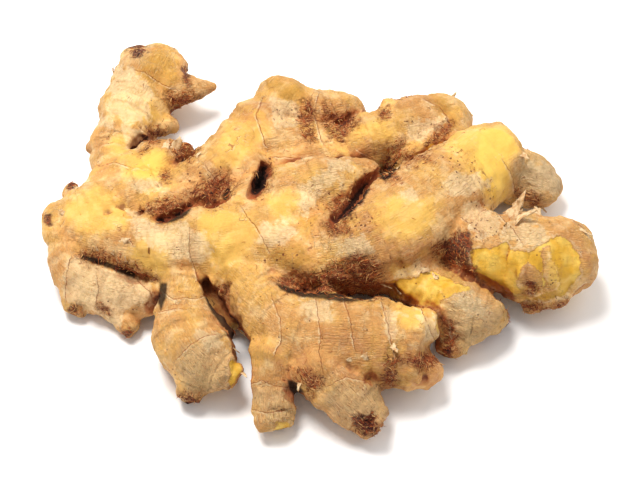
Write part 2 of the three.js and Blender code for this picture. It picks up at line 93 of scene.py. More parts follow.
# %% Layout of the fingers
LIMBS = {
    "left knob": {"ring": 13, "path": [
        [-84.5, 5.5, 11, 7.5], [-75, 8, 13, 10.7], [-63.5, 11.5, 14, 11.5], [-54, 14, 15, 8.5]
    ]},
    "body": {"ring": 12, "path": [
        [-77.5, 3, 12.5, 9.5], [-60, -2.5, 14.5, 11], [-40, -1.5, 17, 13.7], [-23.5, 0.5, 18, 13.7],
        [-9.5, 4, 18, 12.7]
    ]},
    "inner finger": {"ring": 10, "path": [
        [-19.5, 8.5, 18, 12.7], [-5, 14.5, 19.5, 12.2], [6.5, 17, 19.5, 10], [15, 21, 18.5, 6]
    ]},
    "back finger": {"ring": 12, "path": [
        [-15, 24, 13, 7.5], [1.5, 28, 13, 7.3], [18.5, 33, 12, 9.8], [31.5, 37, 11.5, 10.5],
        [40, 38.7, 9.5, 9.5]
    ]},
    "right body": {"ring": 14, "path": [
        [-11.5, -6, 18, 9.7], [5, -4.5, 20.5, 13.2], [21.5, 1.5, 21, 16.7], [36.5, 11.5, 20.5, 15.7],
        [49.5, 22, 18, 13.7], [56, 26.5, 16, 12]
    ]},
    "right finger": {"ring": 13, "path": [
        [43.5, 2.5, 17, 10], [56.5, -3.5, 17, 12.5], [70, -6, 17, 14.2], [79.5, -5.5, 16, 13]
    ]},
    "right foot": {"tip": 5, "path": [[73.5, -12.5, 12, 9.5], [75, -18, 8, 8.4]]},
    "far stub": {"ring": 7, "path": [[60, 24, 10, 7.7], [70, 19.5, 8.5, 8.7], [76, 18.5, 8, 5.2]]},
    "lower right finger": {"ring": 9, "path": [
        [25, -9.5, 15, 8], [35, -16, 13, 8.7], [45, -23, 12, 10.4], [53.5, -25, 11, 7.8],
        [58.5, -25.5, 10, 2.7]
    ]},
    "lower right lobe": {"tip": 3, "path": [[45, -28.5, 9, 6.5], [43, -36, 6, 5]]},
    "front finger": {"ring": 11.5, "tip": 3, "path": [
        [-29.5, -10.5, 16.5, 8], [-18.5, -21.5, 16.5, 10.6], [-5.3, -32.3, 15.5, 13.2],
        [10, -34, 14.5, 15.2], [25, -35, 14, 13.7], [32, -36.5, 13.5, 12.5]
    ]},
    "front end low": {"tip": 3, "path": [[33.5, -42.5, 11, 6.5], [36.5, -44.5, 9, 5.6]]},
    "front end high": {"tip": 1.5, "path": [[34, -29.5, 18.5, 5.4], [37, -28.5, 18.5, 5]]},
    "left toe": {"ring": 9, "tip": 1.5, "path": [
        [-14.5, -38.5, 13, 8.7], [-15.5, -47.5, 9, 6.9], [-16, -56, 6.5, 6.9], [-15, -61.3, 5.5, 5.5]
    ]},
    "right toe": {"ring": 8, "tip": 1.5, "path": [
        [-0.5, -42.5, 14, 10], [8.5, -51.5, 10.5, 9.5], [15.5, -57.5, 8, 7.5], [19, -61, 6.5, 6]
    ]},
    "toe bud": {"path": [[-5.5, -44, 9, 4], [-3.5, -48, 7, 2.4]]},
    "near finger": {"ring": 9, "path": [
        [-45, -15, 15, 6.3], [-46, -24.5, 13, 8.7], [-43.5, -34, 12.3, 11.4], [-39.3, -39.2, 11.2, 10.6]
    ]},
    "near stub": {"tip": 0.5, "path": [[-42.5, -45, 8, 6.2], [-44.4, -53, 4.4, 4.3]]},
    "near broken end": {"tip": 0.8, "path": [[-31.5, -44, 11, 6.7], [-27.5, -46.5, 10, 4]]},
    "near bud": {"path": [[-34, -28.5, 13, 3.2], [-31.8, -30.2, 11.5, 1.8]]},
    "corner finger": {"ring": 8, "path": [
        [-85.5, 0.5, 11, 5.8], [-83, -9, 10, 6.3], [-75, -15.3, 8.5, 6.6], [-63.5, -18.2, 8.3, 6.7],
        [-58.5, -19, 8.5, 5.6]
    ]},
    "corner bud left": {"tip": 1, "path": [[-80.5, -18.5, 6, 4.8], [-82, -23.5, 3.5, 3.5]]},
    "corner bud right": {"ring": 5, "tip": 1, "path": [
        [-72, -20.5, 6, 4.4], [-67, -26, 4, 3.1], [-62.8, -29.8, 2.8, 2.8]
    ]},
    "top finger": {"ring": 12, "path": [
        [-69.5, 16.5, 13, 8], [-68.5, 27.5, 12, 6.7], [-64.5, 38, 11, 9.7], [-60.5, 46.5, 10.6, 11.1],
        [-56.5, 54, 10.6, 10.4], [-54, 57.5, 10.6, 8]
    ]},
    "top bud left": {"tip": 0.6, "path": [[-60.5, 59.5, 13, 3.6], [-62.5, 62.5, 14, 3]]},
    "top bud right": {"tip": 1, "path": [[-48.5, 56.5, 12, 4], [-46, 59.5, 12.5, 2.6]]},
    "top horn": {"path": [[-51.5, 49.5, 12, 7], [-43.5, 50.5, 12, 4.2], [-35.7, 51, 12, 0.9]]},
    "top bud low": {"path": [[-55, 38.5, 9, 4.7], [-49.5, 37.7, 8, 2.4]]},
    "top bud side": {"path": [[-72, 33, 10, 4.7], [-74.7, 32, 9, 2.8]]},
    "scar lobe": {"tip": 1, "path": [
        [-66, 18, 14, 9.3], [-56.5, 23.5, 14, 9], [-49.5, 27, 12, 6.2], [-44, 29, 11, 3.6]
    ]},
    "upper finger": {"ring": 12, "path": [
        [-52.5, 12.5, 17, 6.5], [-44.5, 16.5, 18, 8.2], [-34, 23.5, 18, 9.4], [-23.5, 33.5, 16, 9.8],
        [-12.5, 44.3, 14, 9.5]
    ]},
    "upper knob": {"ring": 6.5, "path": [
        [-6.5, 41, 13, 7.9], [1.5, 42, 12, 7.4], [8.5, 43.5, 12, 5.4], [12, 42, 12, 3]
    ]},
    "upper bud": {"path": [[-36.5, 16.5, 17, 3.4], [-34.5, 12.3, 16, 1.9]]},
    "back bud": {"path": [[22.5, 41.5, 17, 3], [22, 44, 17, 2.7]]},
    "knob bud top": {"tip": 0.8, "path": [[-82.5, 15.5, 12, 3.5], [-82.5, 18.2, 12, 2.7]]},
    "knob bud side": {"tip": 0.8, "path": [[-87, 6, 11, 4.2], [-90, 7, 10, 3.6]]},
    "brow bud": {"path": [[1, -22, 18.5, 4.4], [2, -18.6, 18.5, 3.4]]},
    "shoulder": {"path": [[28, 26, 10, 6.5], [35, 29.5, 10.5, 7.5], [43, 33, 10.5, 8]]},
    "web": {"path": [[-12, 26, 13, 6], [-3, 25.5, 14.5, 7.5], [7, 26, 14, 6]]},
    "junction": {"path": [[-22, -4, 17, 12.3], [-9, -5, 18, 13.3], [4, -6, 18, 12.5]]},
    "saddle": {"path": [[-18, 30, 15, 9.5], [-9, 32, 15, 8.5], [1, 32.5, 13, 6.3]]},
    "under stub": {"path": [[-22, -3, 12, 8.5], [-20, -9, 7, 7.2]]},
    "bridge": {"path": [[-34, 21, 16, 7.5], [-29.5, 16, 16.5, 7.5], [-25.5, 9, 17, 8]]},
    "gap web": {"path": [[-40, -18, 7, 5], [-33.5, -21, 6, 5], [-30, -26, 5, 4.5]]},
    "pit side": {"path": [[-29, 26, 17, 7.5], [-23.5, 23.5, 19, 7.5], [-21, 18, 19, 7.5]]},
    "corner nub high": {"path": [[-58, -16.5, 10, 4], [-54.5, -14.8, 10.5, 2.6]]},
    "corner nub low": {"path": [[-58, -21, 7, 3.8], [-54.2, -22, 7, 2.4]]},
    "corner web": {"path": [[-80, -5, 6, 5.5], [-70, -8.5, 6, 5.5], [-59, -12, 6, 5.5]]},
    "flank web": {"path": [[36, -7, 12, 6.5], [43, -8.5, 11.5, 6.5], [49, -10, 10, 5.5]]},
    "crease fill": {"path": [[-60, 10.5, 17, 5.5], [-50, 10, 20, 6], [-40, 13.5, 21, 6]]},
}

# %% Layout of the folds
FOLDS = {
    "slit": [
        [3.8, 5.3, 33.6, 0.8], [5.6, 8.2, 33.2, 2.2], [7.8, 11, 32.8, 3], [11.7, 15.1, 31.5, 3.2],
        [14.9, 19, 28.5, 3], [18.5, 22, 28, 2.6], [22.6, 24.5, 26, 2.4]
    ],
    "slit floor": [
        [5.8, 6.6, 31, 1.1], [9.2, 9.8, 29, 2.2], [12.8, 13.9, 26, 2.5], [16.3, 17.9, 23, 2.4],
        [20.6, 21.5, 21, 2.2], [24.4, 24.7, 17, 2.2]
    ],
    "pit": [
        [-22.5, 15, 30, 1.8], [-20.5, 19, 29.5, 2.6], [-18.7, 23, 29, 2.6], [-17.5, 26, 26, 2.2]
    ],
    "pit floor": [[-21, 17, 25.5, 1.4], [-19.7, 20, 23, 2], [-18.7, 23, 22, 2.2]],
    "long crease": [
        [-56, 7.9, 25.5, 1.2], [-52, 7.8, 26.5, 2], [-48, 9.2, 28.3, 2.1], [-44.6, 12, 28.3, 2.1],
        [-40, 13.5, 28, 2.1], [-36, 12.2, 29.5, 2.1], [-33, 14.8, 29.5, 2], [-30.8, 18, 27.5, 1.4]
    ],
    "long crease floor": [
        [-52, 6.6, 23.5, 1.3], [-46, 8.6, 25.5, 1.6], [-40, 11.9, 25, 1.6], [-36, 10.6, 26.5, 1.6],
        [-32, 13.4, 26.5, 1.3]
    ],
}
print(len(LIMBS), "fingers and buds,", len(FOLDS), "folds")

# %% Centre lines
LINE_STEP = 2.0


def placed(across, up, lift, radius):
    """A row of the table as a point in space and its radius, seen in the camera's perspective."""
    aim = VIEW_CENTRE + up * view_up + across * view_right
    share = (lift - view_eye[2]) / (aim[2] - view_eye[2])
    return np.append(view_eye + (aim - view_eye) * share, radius * share)


def smooth_line(knots):
    """A Catmull-Rom curve through the knots, in steps of about LINE_STEP."""
    knots = np.vstack([2 * knots[0] - knots[1], knots, 2 * knots[-1] - knots[-2]])
    points = []
    for a, b, c, d in zip(knots, knots[1:], knots[2:], knots[3:]):
        steps = max(2, int(np.linalg.norm((c - b)[:3]) / LINE_STEP))
        for t in np.arange(steps) / steps:
            square = (2 * a - 5 * b + 4 * c - d) * t**2
            cube = (3 * b - a - 3 * c + d) * t**3
            points.append(0.5 * (2 * b + (c - a) * t + square + cube))
    return np.array(points + [knots[-2]])


def centre_line(path):
    return smooth_line(np.array([placed(*row) for row in path]))


print("points on the body's centre line", len(centre_line(LIMBS["body"]["path"])))

# %% [markdown]
# ## One surface round all the fingers
# A rhizome has no seams: each finger grows out of the flesh of the one before. A distance field does the
# same. Every finger gives its distance, the distances are blended softly where fingers meet, and the
# surface is where the blend is nothing. Leaf scars lift the skin into rings, and broken fingers are cut off
# by a plane across their tip.

# %% Distance to a finger
BLEND = 1.0
REACH = 9.0
LEAST = 1e-12
RING_HEIGHT, RING_WIDTH = 0.8, 1.3
BELLY = 0.6
RING_WANDER = 1.1
LUMP_HEIGHT = 0.7
TIP_ROUNDING = 0.8
FOLD_ROUNDING = 0.8


class Finger:
    """One finger or bud: a round cone chain along its centre line, with its rings and its broken tip."""

    def __init__(self, path, ring=0, tip=99):
        line = centre_line(path)
        self.points, self.radii = line[:, :3], line[:, 3]
        self.ring, self.tip = ring, tip
        self.low = (self.points - self.radii[:, None]).min(0) - REACH
        self.high = (self.points + self.radii[:, None]).max(0) + REACH
        runs = np.diff(self.points, axis=0)
        self.at = np.concatenate([[0], np.cumsum(np.linalg.norm(runs, axis=1))])
        self.heading = runs[-1] / np.linalg.norm(runs[-1])

    def near(self, places):
        return np.flatnonzero(np.all((places > self.low) & (places < self.high), axis=1))

    def reach(self, places):
        """The gap to the plain finger, how far along it is, and the line's nearest point and direction."""
        gap = np.full(len(places), 1e9)
        along = np.zeros(len(places))
        foot = np.zeros_like(places)
        course = np.zeros_like(places)
        for i, (start, end) in enumerate(zip(self.points, self.points[1:])):
            run = end - start
            length = np.linalg.norm(run)
            t = np.clip((places - start) @ run / length**2, 0, 1)
            nearest = start + t[:, None] * run
            radius = self.radii[i] + t * (self.radii[i + 1] - self.radii[i])
            here = np.linalg.norm(places - nearest, axis=1) - radius
            closer = here < gap
            gap[closer] = here[closer]
            along[closer] = (self.at[i] + t * length)[closer]
            foot[closer] = nearest[closer]
            course[closer] = run / length
        return gap, along, foot, course

    def ring_phase(self, places, along):
        """How many ring spacings along the finger a place is, so that a ring lies at each whole number."""
        x, y, z = places.T
        wander = RING_WANDER * np.sin(0.21 * x + 0.27 * z) * np.cos(0.19 * y - 0.16 * z)
        return (along + wander) / self.ring - 0.5

    def distance(self, places):
        gap, along, _, _ = self.reach(places)
        if self.ring:
            phase = self.ring_phase(places, along)
            off = (phase - np.round(phase)) * self.ring
            gap = gap - RING_HEIGHT * np.exp(-((off / RING_WIDTH) ** 2)) + BELLY * np.cos(2 * np.pi * phase)
        past = (places - self.points[-1]) @ self.heading - self.tip
        return 0.5 * (gap + past + np.hypot(gap - past, TIP_ROUNDING))


fingers = [Finger(**limb) for limb in LIMBS.values()]
folds = [Finger(path) for path in FOLDS.values()]
print("rings on", sum(bool(finger.ring) for finger in fingers), "fingers, and", len(folds), "folds")

# %% [markdown]
# ### Blending
# Each finger counts by the exponential of how deep a place is in it, so that where two meet the surface
# fills the corner between them as flesh would. The folds are blended with each other in the same way and
# then taken out, with a soft edge.

# %% The blended field
def lumps(places):
    """The slow unevenness of the whole root."""
    x, y, z = places.T
    broad = np.sin(0.31 * x + 1.3) * np.sin(0.27 * y + 0.4)
    slanting = np.sin(0.23 * y - 0.35 * z + 2.1) * np.sin(0.33 * z + 0.19 * x)
    small = np.sin(0.66 * x + 1.9 * broad) * np.sin(0.59 * y - 2.3 * slanting) * np.cos(0.51 * z + broad)
    return LUMP_HEIGHT * (broad + slanting + 0.7 * small)


def blended(members, places):
    """Millimetres outside several fingers or folds that run softly into each other."""
    total = np.full(len(places), LEAST)
    for member in members:
        near = member.near(places)
        if len(near):
            total[near] += np.exp(-np.clip(member.distance(places[near]), -60, 60) / BLEND)
    return -BLEND * np.log(total)


def field(places):
    """Millimetres outside the root's surface, or inside where it is negative."""
    outside = blended(fingers, places) - lumps(places)
    fold = blended(folds, places)
    return 0.5 * (outside - fold + np.hypot(outside + fold, FOLD_ROUNDING))

# %% [markdown]
# ### From field to mesh
# The field is sampled on a fine grid. A coarse grid comes first, and only the cells that it shows to be
# near the surface are worked out in full. Each cell that the surface passes through then gets one point.

# %% The field on a grid
GRID = 0.6
COARSE = 6
BATCH = 200000

block = GRID * COARSE
grid_low = np.floor(np.min([finger.low for finger in fingers], axis=0) / block) * block
grid_high = np.max([finger.high for finger in fingers], axis=0)
counts = np.ceil((grid_high - grid_low) / block).astype(int) + 1
axes = [low + block * np.arange(count) for low, count in zip(grid_low, counts)]
corners = field(np.stack(np.meshgrid(*axes, indexing="ij"), -1).reshape(-1, 3)).reshape(counts)
active = np.zeros(counts - 1, bool)
for i, j, k in itertools.product((0, 1), repeat=3):
    corner = corners[i : counts[0] - 1 + i, j : counts[1] - 1 + j, k : counts[2] - 1 + k]
    active |= np.abs(corner) < 1.5 * block


def spread(values):
    """Each coarse cell's value for all its fine points."""
    return values.repeat(COARSE, 0).repeat(COARSE, 1).repeat(COARSE, 2)


grid = spread(corners[:-1, :-1, :-1])
near_cells = np.argwhere(spread(active))
for first in range(0, len(near_cells), BATCH):
    cells = near_cells[first : first + BATCH]
    grid[tuple(cells.T)] = field(grid_low + GRID * cells)
print("grid", grid.shape, "worked out", len(near_cells))

# %% The surface through the grid
def surface_net(values):
    """One point in each grid cell that the surface passes through, and a quad round each crossing."""
    shape = np.array(values.shape) - 1
    sums = np.zeros((*shape, 3))
    crossings = np.zeros(shape)
    for axis in range(3):
        others = [other for other in range(3) if other != axis]
        for pair in itertools.product((0, 1), repeat=2):
            start = np.zeros(3, int)
            start[others] = pair
            end = start.copy()
            end[axis] = 1
            before = values[tuple(slice(o, o + n) for o, n in zip(start, shape))]
            after = values[tuple(slice(o, o + n) for o, n in zip(end, shape))]
            crossed = (before < 0) != (after < 0)
            share = np.where(crossed, before / np.where(crossed, before - after, 1), 0)
            crossings += crossed
            for other in range(3):
                sums[..., other] += crossed * start[other] + (share if other == axis else 0)
    held = crossings > 0
    number = np.full(held.shape, -1)
    number[held] = np.arange(held.sum())
    points = np.argwhere(held) + sums[held] / crossings[held][:, None]
    quads = []
    for axis, (first, second) in enumerate([(1, 2), (2, 0), (0, 1)]):
        inner = [slice(1, -1)] * 3
        inner[axis] = slice(0, -1)
        outer = list(inner)
        outer[axis] = slice(1, None)
        inside, beyond = values[tuple(inner)] < 0, values[tuple(outer)] < 0
        ring = []
        for step in ((-1, -1), (0, -1), (0, 0), (-1, 0)):
            window = [slice(0, None)] * 3
            for other, shift in zip((first, second), step):
                window[other] = slice(1 + shift, number.shape[other] + shift)
            ring.append(number[tuple(window)])
        ring = np.stack(ring, -1)
        quads += [ring[inside & ~beyond], ring[~inside & beyond][:, ::-1]]
    return grid_low + GRID * points, np.vstack(quads)


points, quads = surface_net(grid)
middle = np.append((points.min(0) + points.max(0))[:2] / 2, 0)
camera.location = (view_eye - middle) * MM
print("points", len(points), "size", np.round(np.ptp(points, axis=0), 1), "middle", np.round(middle, 2))

# %% Normals and random values
def normals_of(points, faces):
    """Each point's outward direction, as the mean of its faces'."""
    across = points[faces[:, 2]] - points[faces[:, 0]]
    other = points[faces[:, -1]] - points[faces[:, 1]]
    face_normals = np.cross(across, other)
    total = np.zeros_like(points)
    for column in faces.T:
        for axis in range(3):
            total[:, axis] += np.bincount(column, face_normals[:, axis], len(points))
    return total / np.maximum(np.linalg.norm(total, axis=1), LEAST)[:, None]


def noise(places, size, seed):
    """Smooth random values from -1 to 1, with features about as wide as size."""
    cell = places / size
    base = np.floor(cell).astype(np.int64)
    ease = (cell - base) ** 2 * (3 - 2 * (cell - base))
    total = np.zeros(len(places))
    for corner in itertools.product((0, 1), repeat=3):
        key = (base + corner) @ np.array([73856093, 19349663, 83492791]) + seed * 2654435761
        key = ((key ^ (key >> 15)) * 2246822519) & 0xFFFFFFFF
        key = ((key ^ (key >> 13)) * 3266489917) & 0xFFFFFFFF
        value = (key ^ (key >> 16)) / 2147483648 - 1
        total += value * np.prod(np.where(corner, ease, 1 - ease), axis=1)
    return total


def ease(values, low, high):
    """0 below low and 1 above high, with a smooth step between."""
    share = np.clip((values - low) / (high - low), 0, 1)
    return share * share * (3 - 2 * share)


normals = normals_of(points, quads)
print("mean of the noise", round(float(noise(points, 4, 1).mean()), 3))

# %% [markdown]
# ## Where on the root each kind of skin is
# The skin isn't the same all over. It is worn off in places down to the yellow flesh, it is brown and
# bristly in the creases where scale leaves sat, and it is dry and grey at the broken tips. On the side that
# the photograph shows, each patch is an outline in the view, drawn in picture pixels, three to the
# millimetre. It lies on what the camera sees there and fades round the edge. On the other sides, patches
# are scattered by a seed.

# %% Outlines of bare flesh, and of the skin left on it
OUTLINES = {}
OUTLINES["bare"] = [
    [(470, 252), (482, 248), (498, 248), (506, 243), (515, 250), (530, 250), (545, 243), (556, 235),
     (566, 240), (578, 250), (580, 275), (562, 296), (545, 300), (510, 298), (490, 288), (474, 272)],
    [(388, 285), (400, 279), (418, 277), (428, 270), (436, 273), (455, 283), (470, 288), (450, 296),
     (442, 300), (439, 309), (420, 308), (405, 300), (392, 297)],
    [(231, 362), (238, 362), (247, 380), (240, 388), (231, 392), (229, 380)],
    [(276, 423), (290, 421), (290, 432), (274, 433)],
    [(438, 312), (441, 322), (447, 328), (448, 338), (442, 340), (436, 322)],
]
KEPT = [
    [(520, 270), (526, 262), (536, 268), (542, 277), (543, 294), (530, 298), (522, 292), (517, 281)],
    [(541, 246), (550, 246), (551, 262), (560, 268), (560, 292), (545, 290), (543, 268)],
]
print("bare", len(OUTLINES["bare"]), "kept", len(KEPT))

# %% Outlines of thin yellow skin, and of olive skin and painted shade
OUTLINES["ripe"] = [
    [(136, 168), (145, 158), (158, 150), (166, 154), (162, 168), (160, 176), (145, 180), (126, 174)],
    [(480, 128), (506, 124), (517, 140), (520, 154), (510, 160), (512, 178), (511, 190), (500, 205),
     (490, 206), (486, 190), (477, 172), (474, 150)],
    [(548, 240), (560, 245), (574, 262), (576, 284), (560, 292), (549, 280)],
    [(392, 268), (408, 264), (420, 272), (400, 282)], [(434, 304), (445, 308), (446, 322), (438, 326)],
]
OUTLINES["glow"] = [
    [(58, 210), (75, 194), (98, 188), (122, 198), (132, 212), (126, 226), (100, 234), (75, 232)],
    [(140, 235), (160, 231), (176, 238), (170, 258), (160, 274), (145, 268), (130, 250)],
    [(195, 220), (225, 205), (250, 215), (262, 232), (240, 262), (225, 275), (205, 262), (200, 240)],
    [(110, 134), (130, 131), (147, 145), (142, 156), (118, 158), (106, 148)],
    [(378, 205), (400, 194), (432, 200), (434, 222), (415, 238), (388, 240), (374, 228)],
    [(435, 135), (478, 124), (504, 128), (506, 160), (500, 200), (485, 200), (468, 172), (445, 155)],
    [(265, 200), (290, 190), (305, 200), (290, 218), (270, 216)],
    [(348, 130), (375, 118), (398, 125), (390, 139), (362, 143)],
    [(395, 303), (425, 308), (430, 325), (408, 332), (395, 320)],
    [(108, 95), (150, 92), (162, 120), (130, 130), (106, 118)],
    [(122, 150), (160, 146), (172, 165), (160, 182), (124, 180)],
    [(225, 120), (262, 112), (270, 130), (240, 165), (212, 168)],
]
OUTLINES["olive_and_shade"] = [
    [(140, 58), (160, 50), (178, 62), (181, 80), (165, 90), (140, 80)],
    [(270, 82), (300, 80), (312, 92), (300, 106), (278, 100)],
    [(218, 272), (235, 270), (238, 280), (225, 285)],
    [(428, 98), (446, 101), (457, 115), (454, 130), (440, 118)],
    [(270, 250), (300, 244), (312, 262), (290, 273), (270, 266)],
    [(300, 212), (318, 218), (312, 240), (296, 236)],
    # This outline runs along the lower side of the right finger: there the olive is painted shade of the side
    # turned from the light.
    [(474, 276), (500, 280), (530, 290), (556, 286), (562, 298), (530, 302), (500, 297), (480, 288)],
    [(392, 290), (412, 296), (436, 300), (434, 306), (410, 304)],
]
print("ripe", len(OUTLINES["ripe"]), "glow", len(OUTLINES["glow"]), "olive_and_shade", len(OUTLINES["olive_and_shade"]))

# %% Outlines of bristly brown fibre
OUTLINES["fibre"] = [
    [(300, 102), (312, 97), (316, 110), (313, 126), (318, 141), (304, 141), (299, 126)],
    [(323, 101), (336, 112), (348, 112), (361, 121), (352, 130), (346, 138), (330, 141), (322, 124)],
    [(273, 281), (290, 273), (318, 269), (332, 261), (362, 253), (381, 262), (383, 300), (340, 296),
     (290, 292)],
    [(430, 243), (449, 240), (452, 262), (436, 261)],
    [(183, 196), (205, 178), (224, 171), (236, 180), (229, 198), (212, 209), (195, 202)],
    [(140, 209), (158, 199), (180, 197), (191, 204), (178, 217), (160, 223)],
    [(252, 196), (255, 172), (266, 161), (272, 168), (268, 190), (258, 200)],
    [(148, 128), (160, 124), (170, 130), (160, 140), (150, 147), (142, 153), (138, 155), (146, 142)],
    [(165, 91), (185, 92), (202, 98), (186, 113), (174, 119), (168, 105)],
    [(166, 139), (186, 137), (201, 150), (190, 163), (178, 162), (170, 150)],
    [(160, 171), (170, 171), (168, 183), (160, 182)],
    [(77, 249), (100, 249), (114, 257), (134, 265), (157, 279), (140, 278), (112, 268), (80, 259)],
    [(328, 206), (346, 193), (366, 174), (370, 180), (350, 214), (334, 222)],
    [(378, 168), (388, 150), (401, 139), (406, 150), (399, 166), (396, 180), (384, 183)],
    [(400, 147), (424, 150), (431, 162), (404, 166)],
    [(434, 128), (452, 122), (448, 138), (430, 150), (424, 147)],
    [(376, 110), (388, 105), (393, 116), (380, 120)],
    [(292, 369), (319, 372), (323, 385), (312, 396), (299, 385)],
    [(386, 352), (398, 358), (396, 386), (380, 386)], [(404, 358), (440, 351), (441, 366), (420, 371)],
    [(440, 314), (456, 326), (461, 346), (446, 364), (440, 350), (444, 332)],
    [(514, 299), (545, 303), (562, 300), (572, 304), (555, 317), (535, 315), (520, 310)],
    [(513, 187), (530, 192), (543, 198), (535, 209), (520, 201)],
    [(350, 426), (365, 414), (385, 424), (394, 430), (375, 437), (355, 434)],
    [(98, 304), (112, 308), (108, 314), (98, 311)], [(180, 392), (204, 394), (204, 406), (184, 406)],
    [(521, 283), (530, 278), (541, 288), (536, 297), (526, 294)],
    [(213, 284), (232, 283), (230, 296), (216, 298)], [(320, 222), (345, 218), (350, 232), (330, 236)],
]
print("fibre", len(OUTLINES["fibre"]))

# %% Outlines of stains and dark spots, some of them painted shade
OUTLINES["stain_and_shade"] = [
    [(220, 291), (234, 284), (242, 302), (252, 328), (264, 350), (252, 353), (243, 334), (230, 316)],
    [(519, 268), (532, 264), (542, 275), (543, 290), (536, 298), (524, 292), (518, 280)],
    [(383, 241), (430, 236), (444, 255), (432, 268), (400, 277), (380, 266)],
    [(345, 205), (385, 206), (380, 245), (350, 240)], [(320, 325), (395, 335), (398, 388), (330, 384)],
    [(228, 110), (262, 100), (290, 104), (280, 118), (240, 130)],
    [(395, 348), (445, 345), (446, 388), (400, 388)], [(330, 140), (372, 138), (380, 160), (340, 160)],
    [(545, 230), (590, 240), (596, 262), (580, 280), (575, 250)],
    [(262, 345), (320, 345), (320, 372), (280, 380)],
    # The last two outlines lie on the toes, which face down and away from the light: there the stain is also
    # painted shade.
    [(322, 384), (350, 377), (380, 388), (397, 425), (372, 436), (340, 420)],
    [(250, 388), (292, 390), (292, 424), (262, 424)],
]
OUTLINES["dark"] = [
    # The first outline runs down the slit between two fingers: its dark is partly fibre and partly painted
    # shade.
    [(333, 224), (344, 206), (356, 190), (368, 177), (376, 176), (368, 190), (358, 206), (345, 219)],
    [(446, 240), (460, 227), (469, 232), (471, 262), (478, 271), (474, 278), (462, 274), (440, 262)],
    [(128, 46), (142, 43), (146, 50), (134, 58)], [(72, 304), (80, 304), (80, 316), (70, 316)],
    [(66, 180), (76, 177), (78, 186), (68, 188)], [(44, 214), (50, 214), (50, 222), (45, 222)],
    [(182, 66), (190, 70), (188, 84), (182, 82)], [(120, 328), (132, 326), (130, 336), (120, 338)],
    [(440, 350), (448, 350), (450, 364), (442, 364)], [(352, 418), (372, 412), (378, 430), (358, 434)],
    [(182, 398), (202, 400), (198, 407), (184, 407)], [(340, 114), (350, 114), (350, 123), (340, 123)],
    [(205, 192), (216, 190), (216, 208), (206, 206)],
]
print("stain_and_shade", len(OUTLINES["stain_and_shade"]), "dark", len(OUTLINES["dark"]))

# %% Outlines of dry ends and pale scuffs
OUTLINES["dry"] = [
    [(520, 158), (536, 153), (556, 168), (566, 186), (546, 200), (520, 196), (512, 185)],
    [(443, 300), (470, 288), (486, 300), (503, 315), (496, 332), (474, 346), (455, 346), (441, 320)],
    [(322, 384), (345, 377), (376, 385), (386, 400), (397, 425), (372, 436), (344, 421), (324, 402)],
    [(250, 386), (292, 389), (293, 415), (280, 424), (258, 414)],
    [(180, 345), (210, 337), (232, 350), (236, 380), (215, 396), (188, 400), (178, 376)],
    [(130, 44), (140, 42), (142, 60), (128, 66)],
]
OUTLINES["scuff"] = [
    [(443, 182), (455, 173), (480, 171), (489, 185), (470, 199), (449, 194)],
    [(399, 192), (412, 186), (421, 192), (415, 203), (403, 200)],
    [(175, 240), (200, 237), (214, 250), (210, 263), (190, 262), (174, 252)],
    [(255, 224), (285, 221), (300, 235), (281, 246), (260, 241)],
    [(404, 122), (430, 119), (447, 117), (440, 131), (420, 139), (404, 135)],
    [(296, 206), (302, 182), (330, 164), (346, 178), (320, 197), (306, 218)],
    [(92, 108), (116, 120), (112, 131), (95, 128)], [(128, 180), (160, 178), (160, 190), (133, 192)],
    [(460, 199), (490, 205), (502, 228), (482, 242), (468, 230)],
    [(382, 308), (398, 314), (397, 346), (388, 332)], [(418, 315), (436, 318), (441, 341), (425, 338)],
    [(270, 96), (299, 104), (299, 130), (272, 125)],
    [(66, 258), (100, 264), (130, 272), (156, 288), (155, 303), (128, 308), (122, 330), (98, 316),
     (62, 298)],
    # This outline makes the upper part of the far stub paler.
    [(524, 160), (548, 162), (562, 180), (556, 196), (536, 190), (522, 176)],
    [(110, 70), (130, 66), (150, 84), (152, 118), (128, 128), (106, 112)],
    [(122, 124), (144, 128), (144, 146), (126, 152)],
    [(128, 210), (160, 226), (190, 224), (204, 236), (190, 262), (160, 250), (136, 236)],
    [(198, 334), (226, 334), (228, 348), (204, 350)], [(300, 300), (330, 300), (334, 320), (306, 322)],
    [(455, 290), (480, 296), (490, 312), (468, 316), (452, 304)],
    [(395, 268), (425, 262), (424, 272), (400, 280)], [(322, 162), (350, 158), (352, 172), (330, 172)],
    [(508, 220), (545, 226), (552, 246), (520, 248), (500, 238)],
    [(335, 240), (372, 238), (372, 254), (340, 258)],
]
print("dry", len(OUTLINES["dry"]), "scuff", len(OUTLINES["scuff"]))
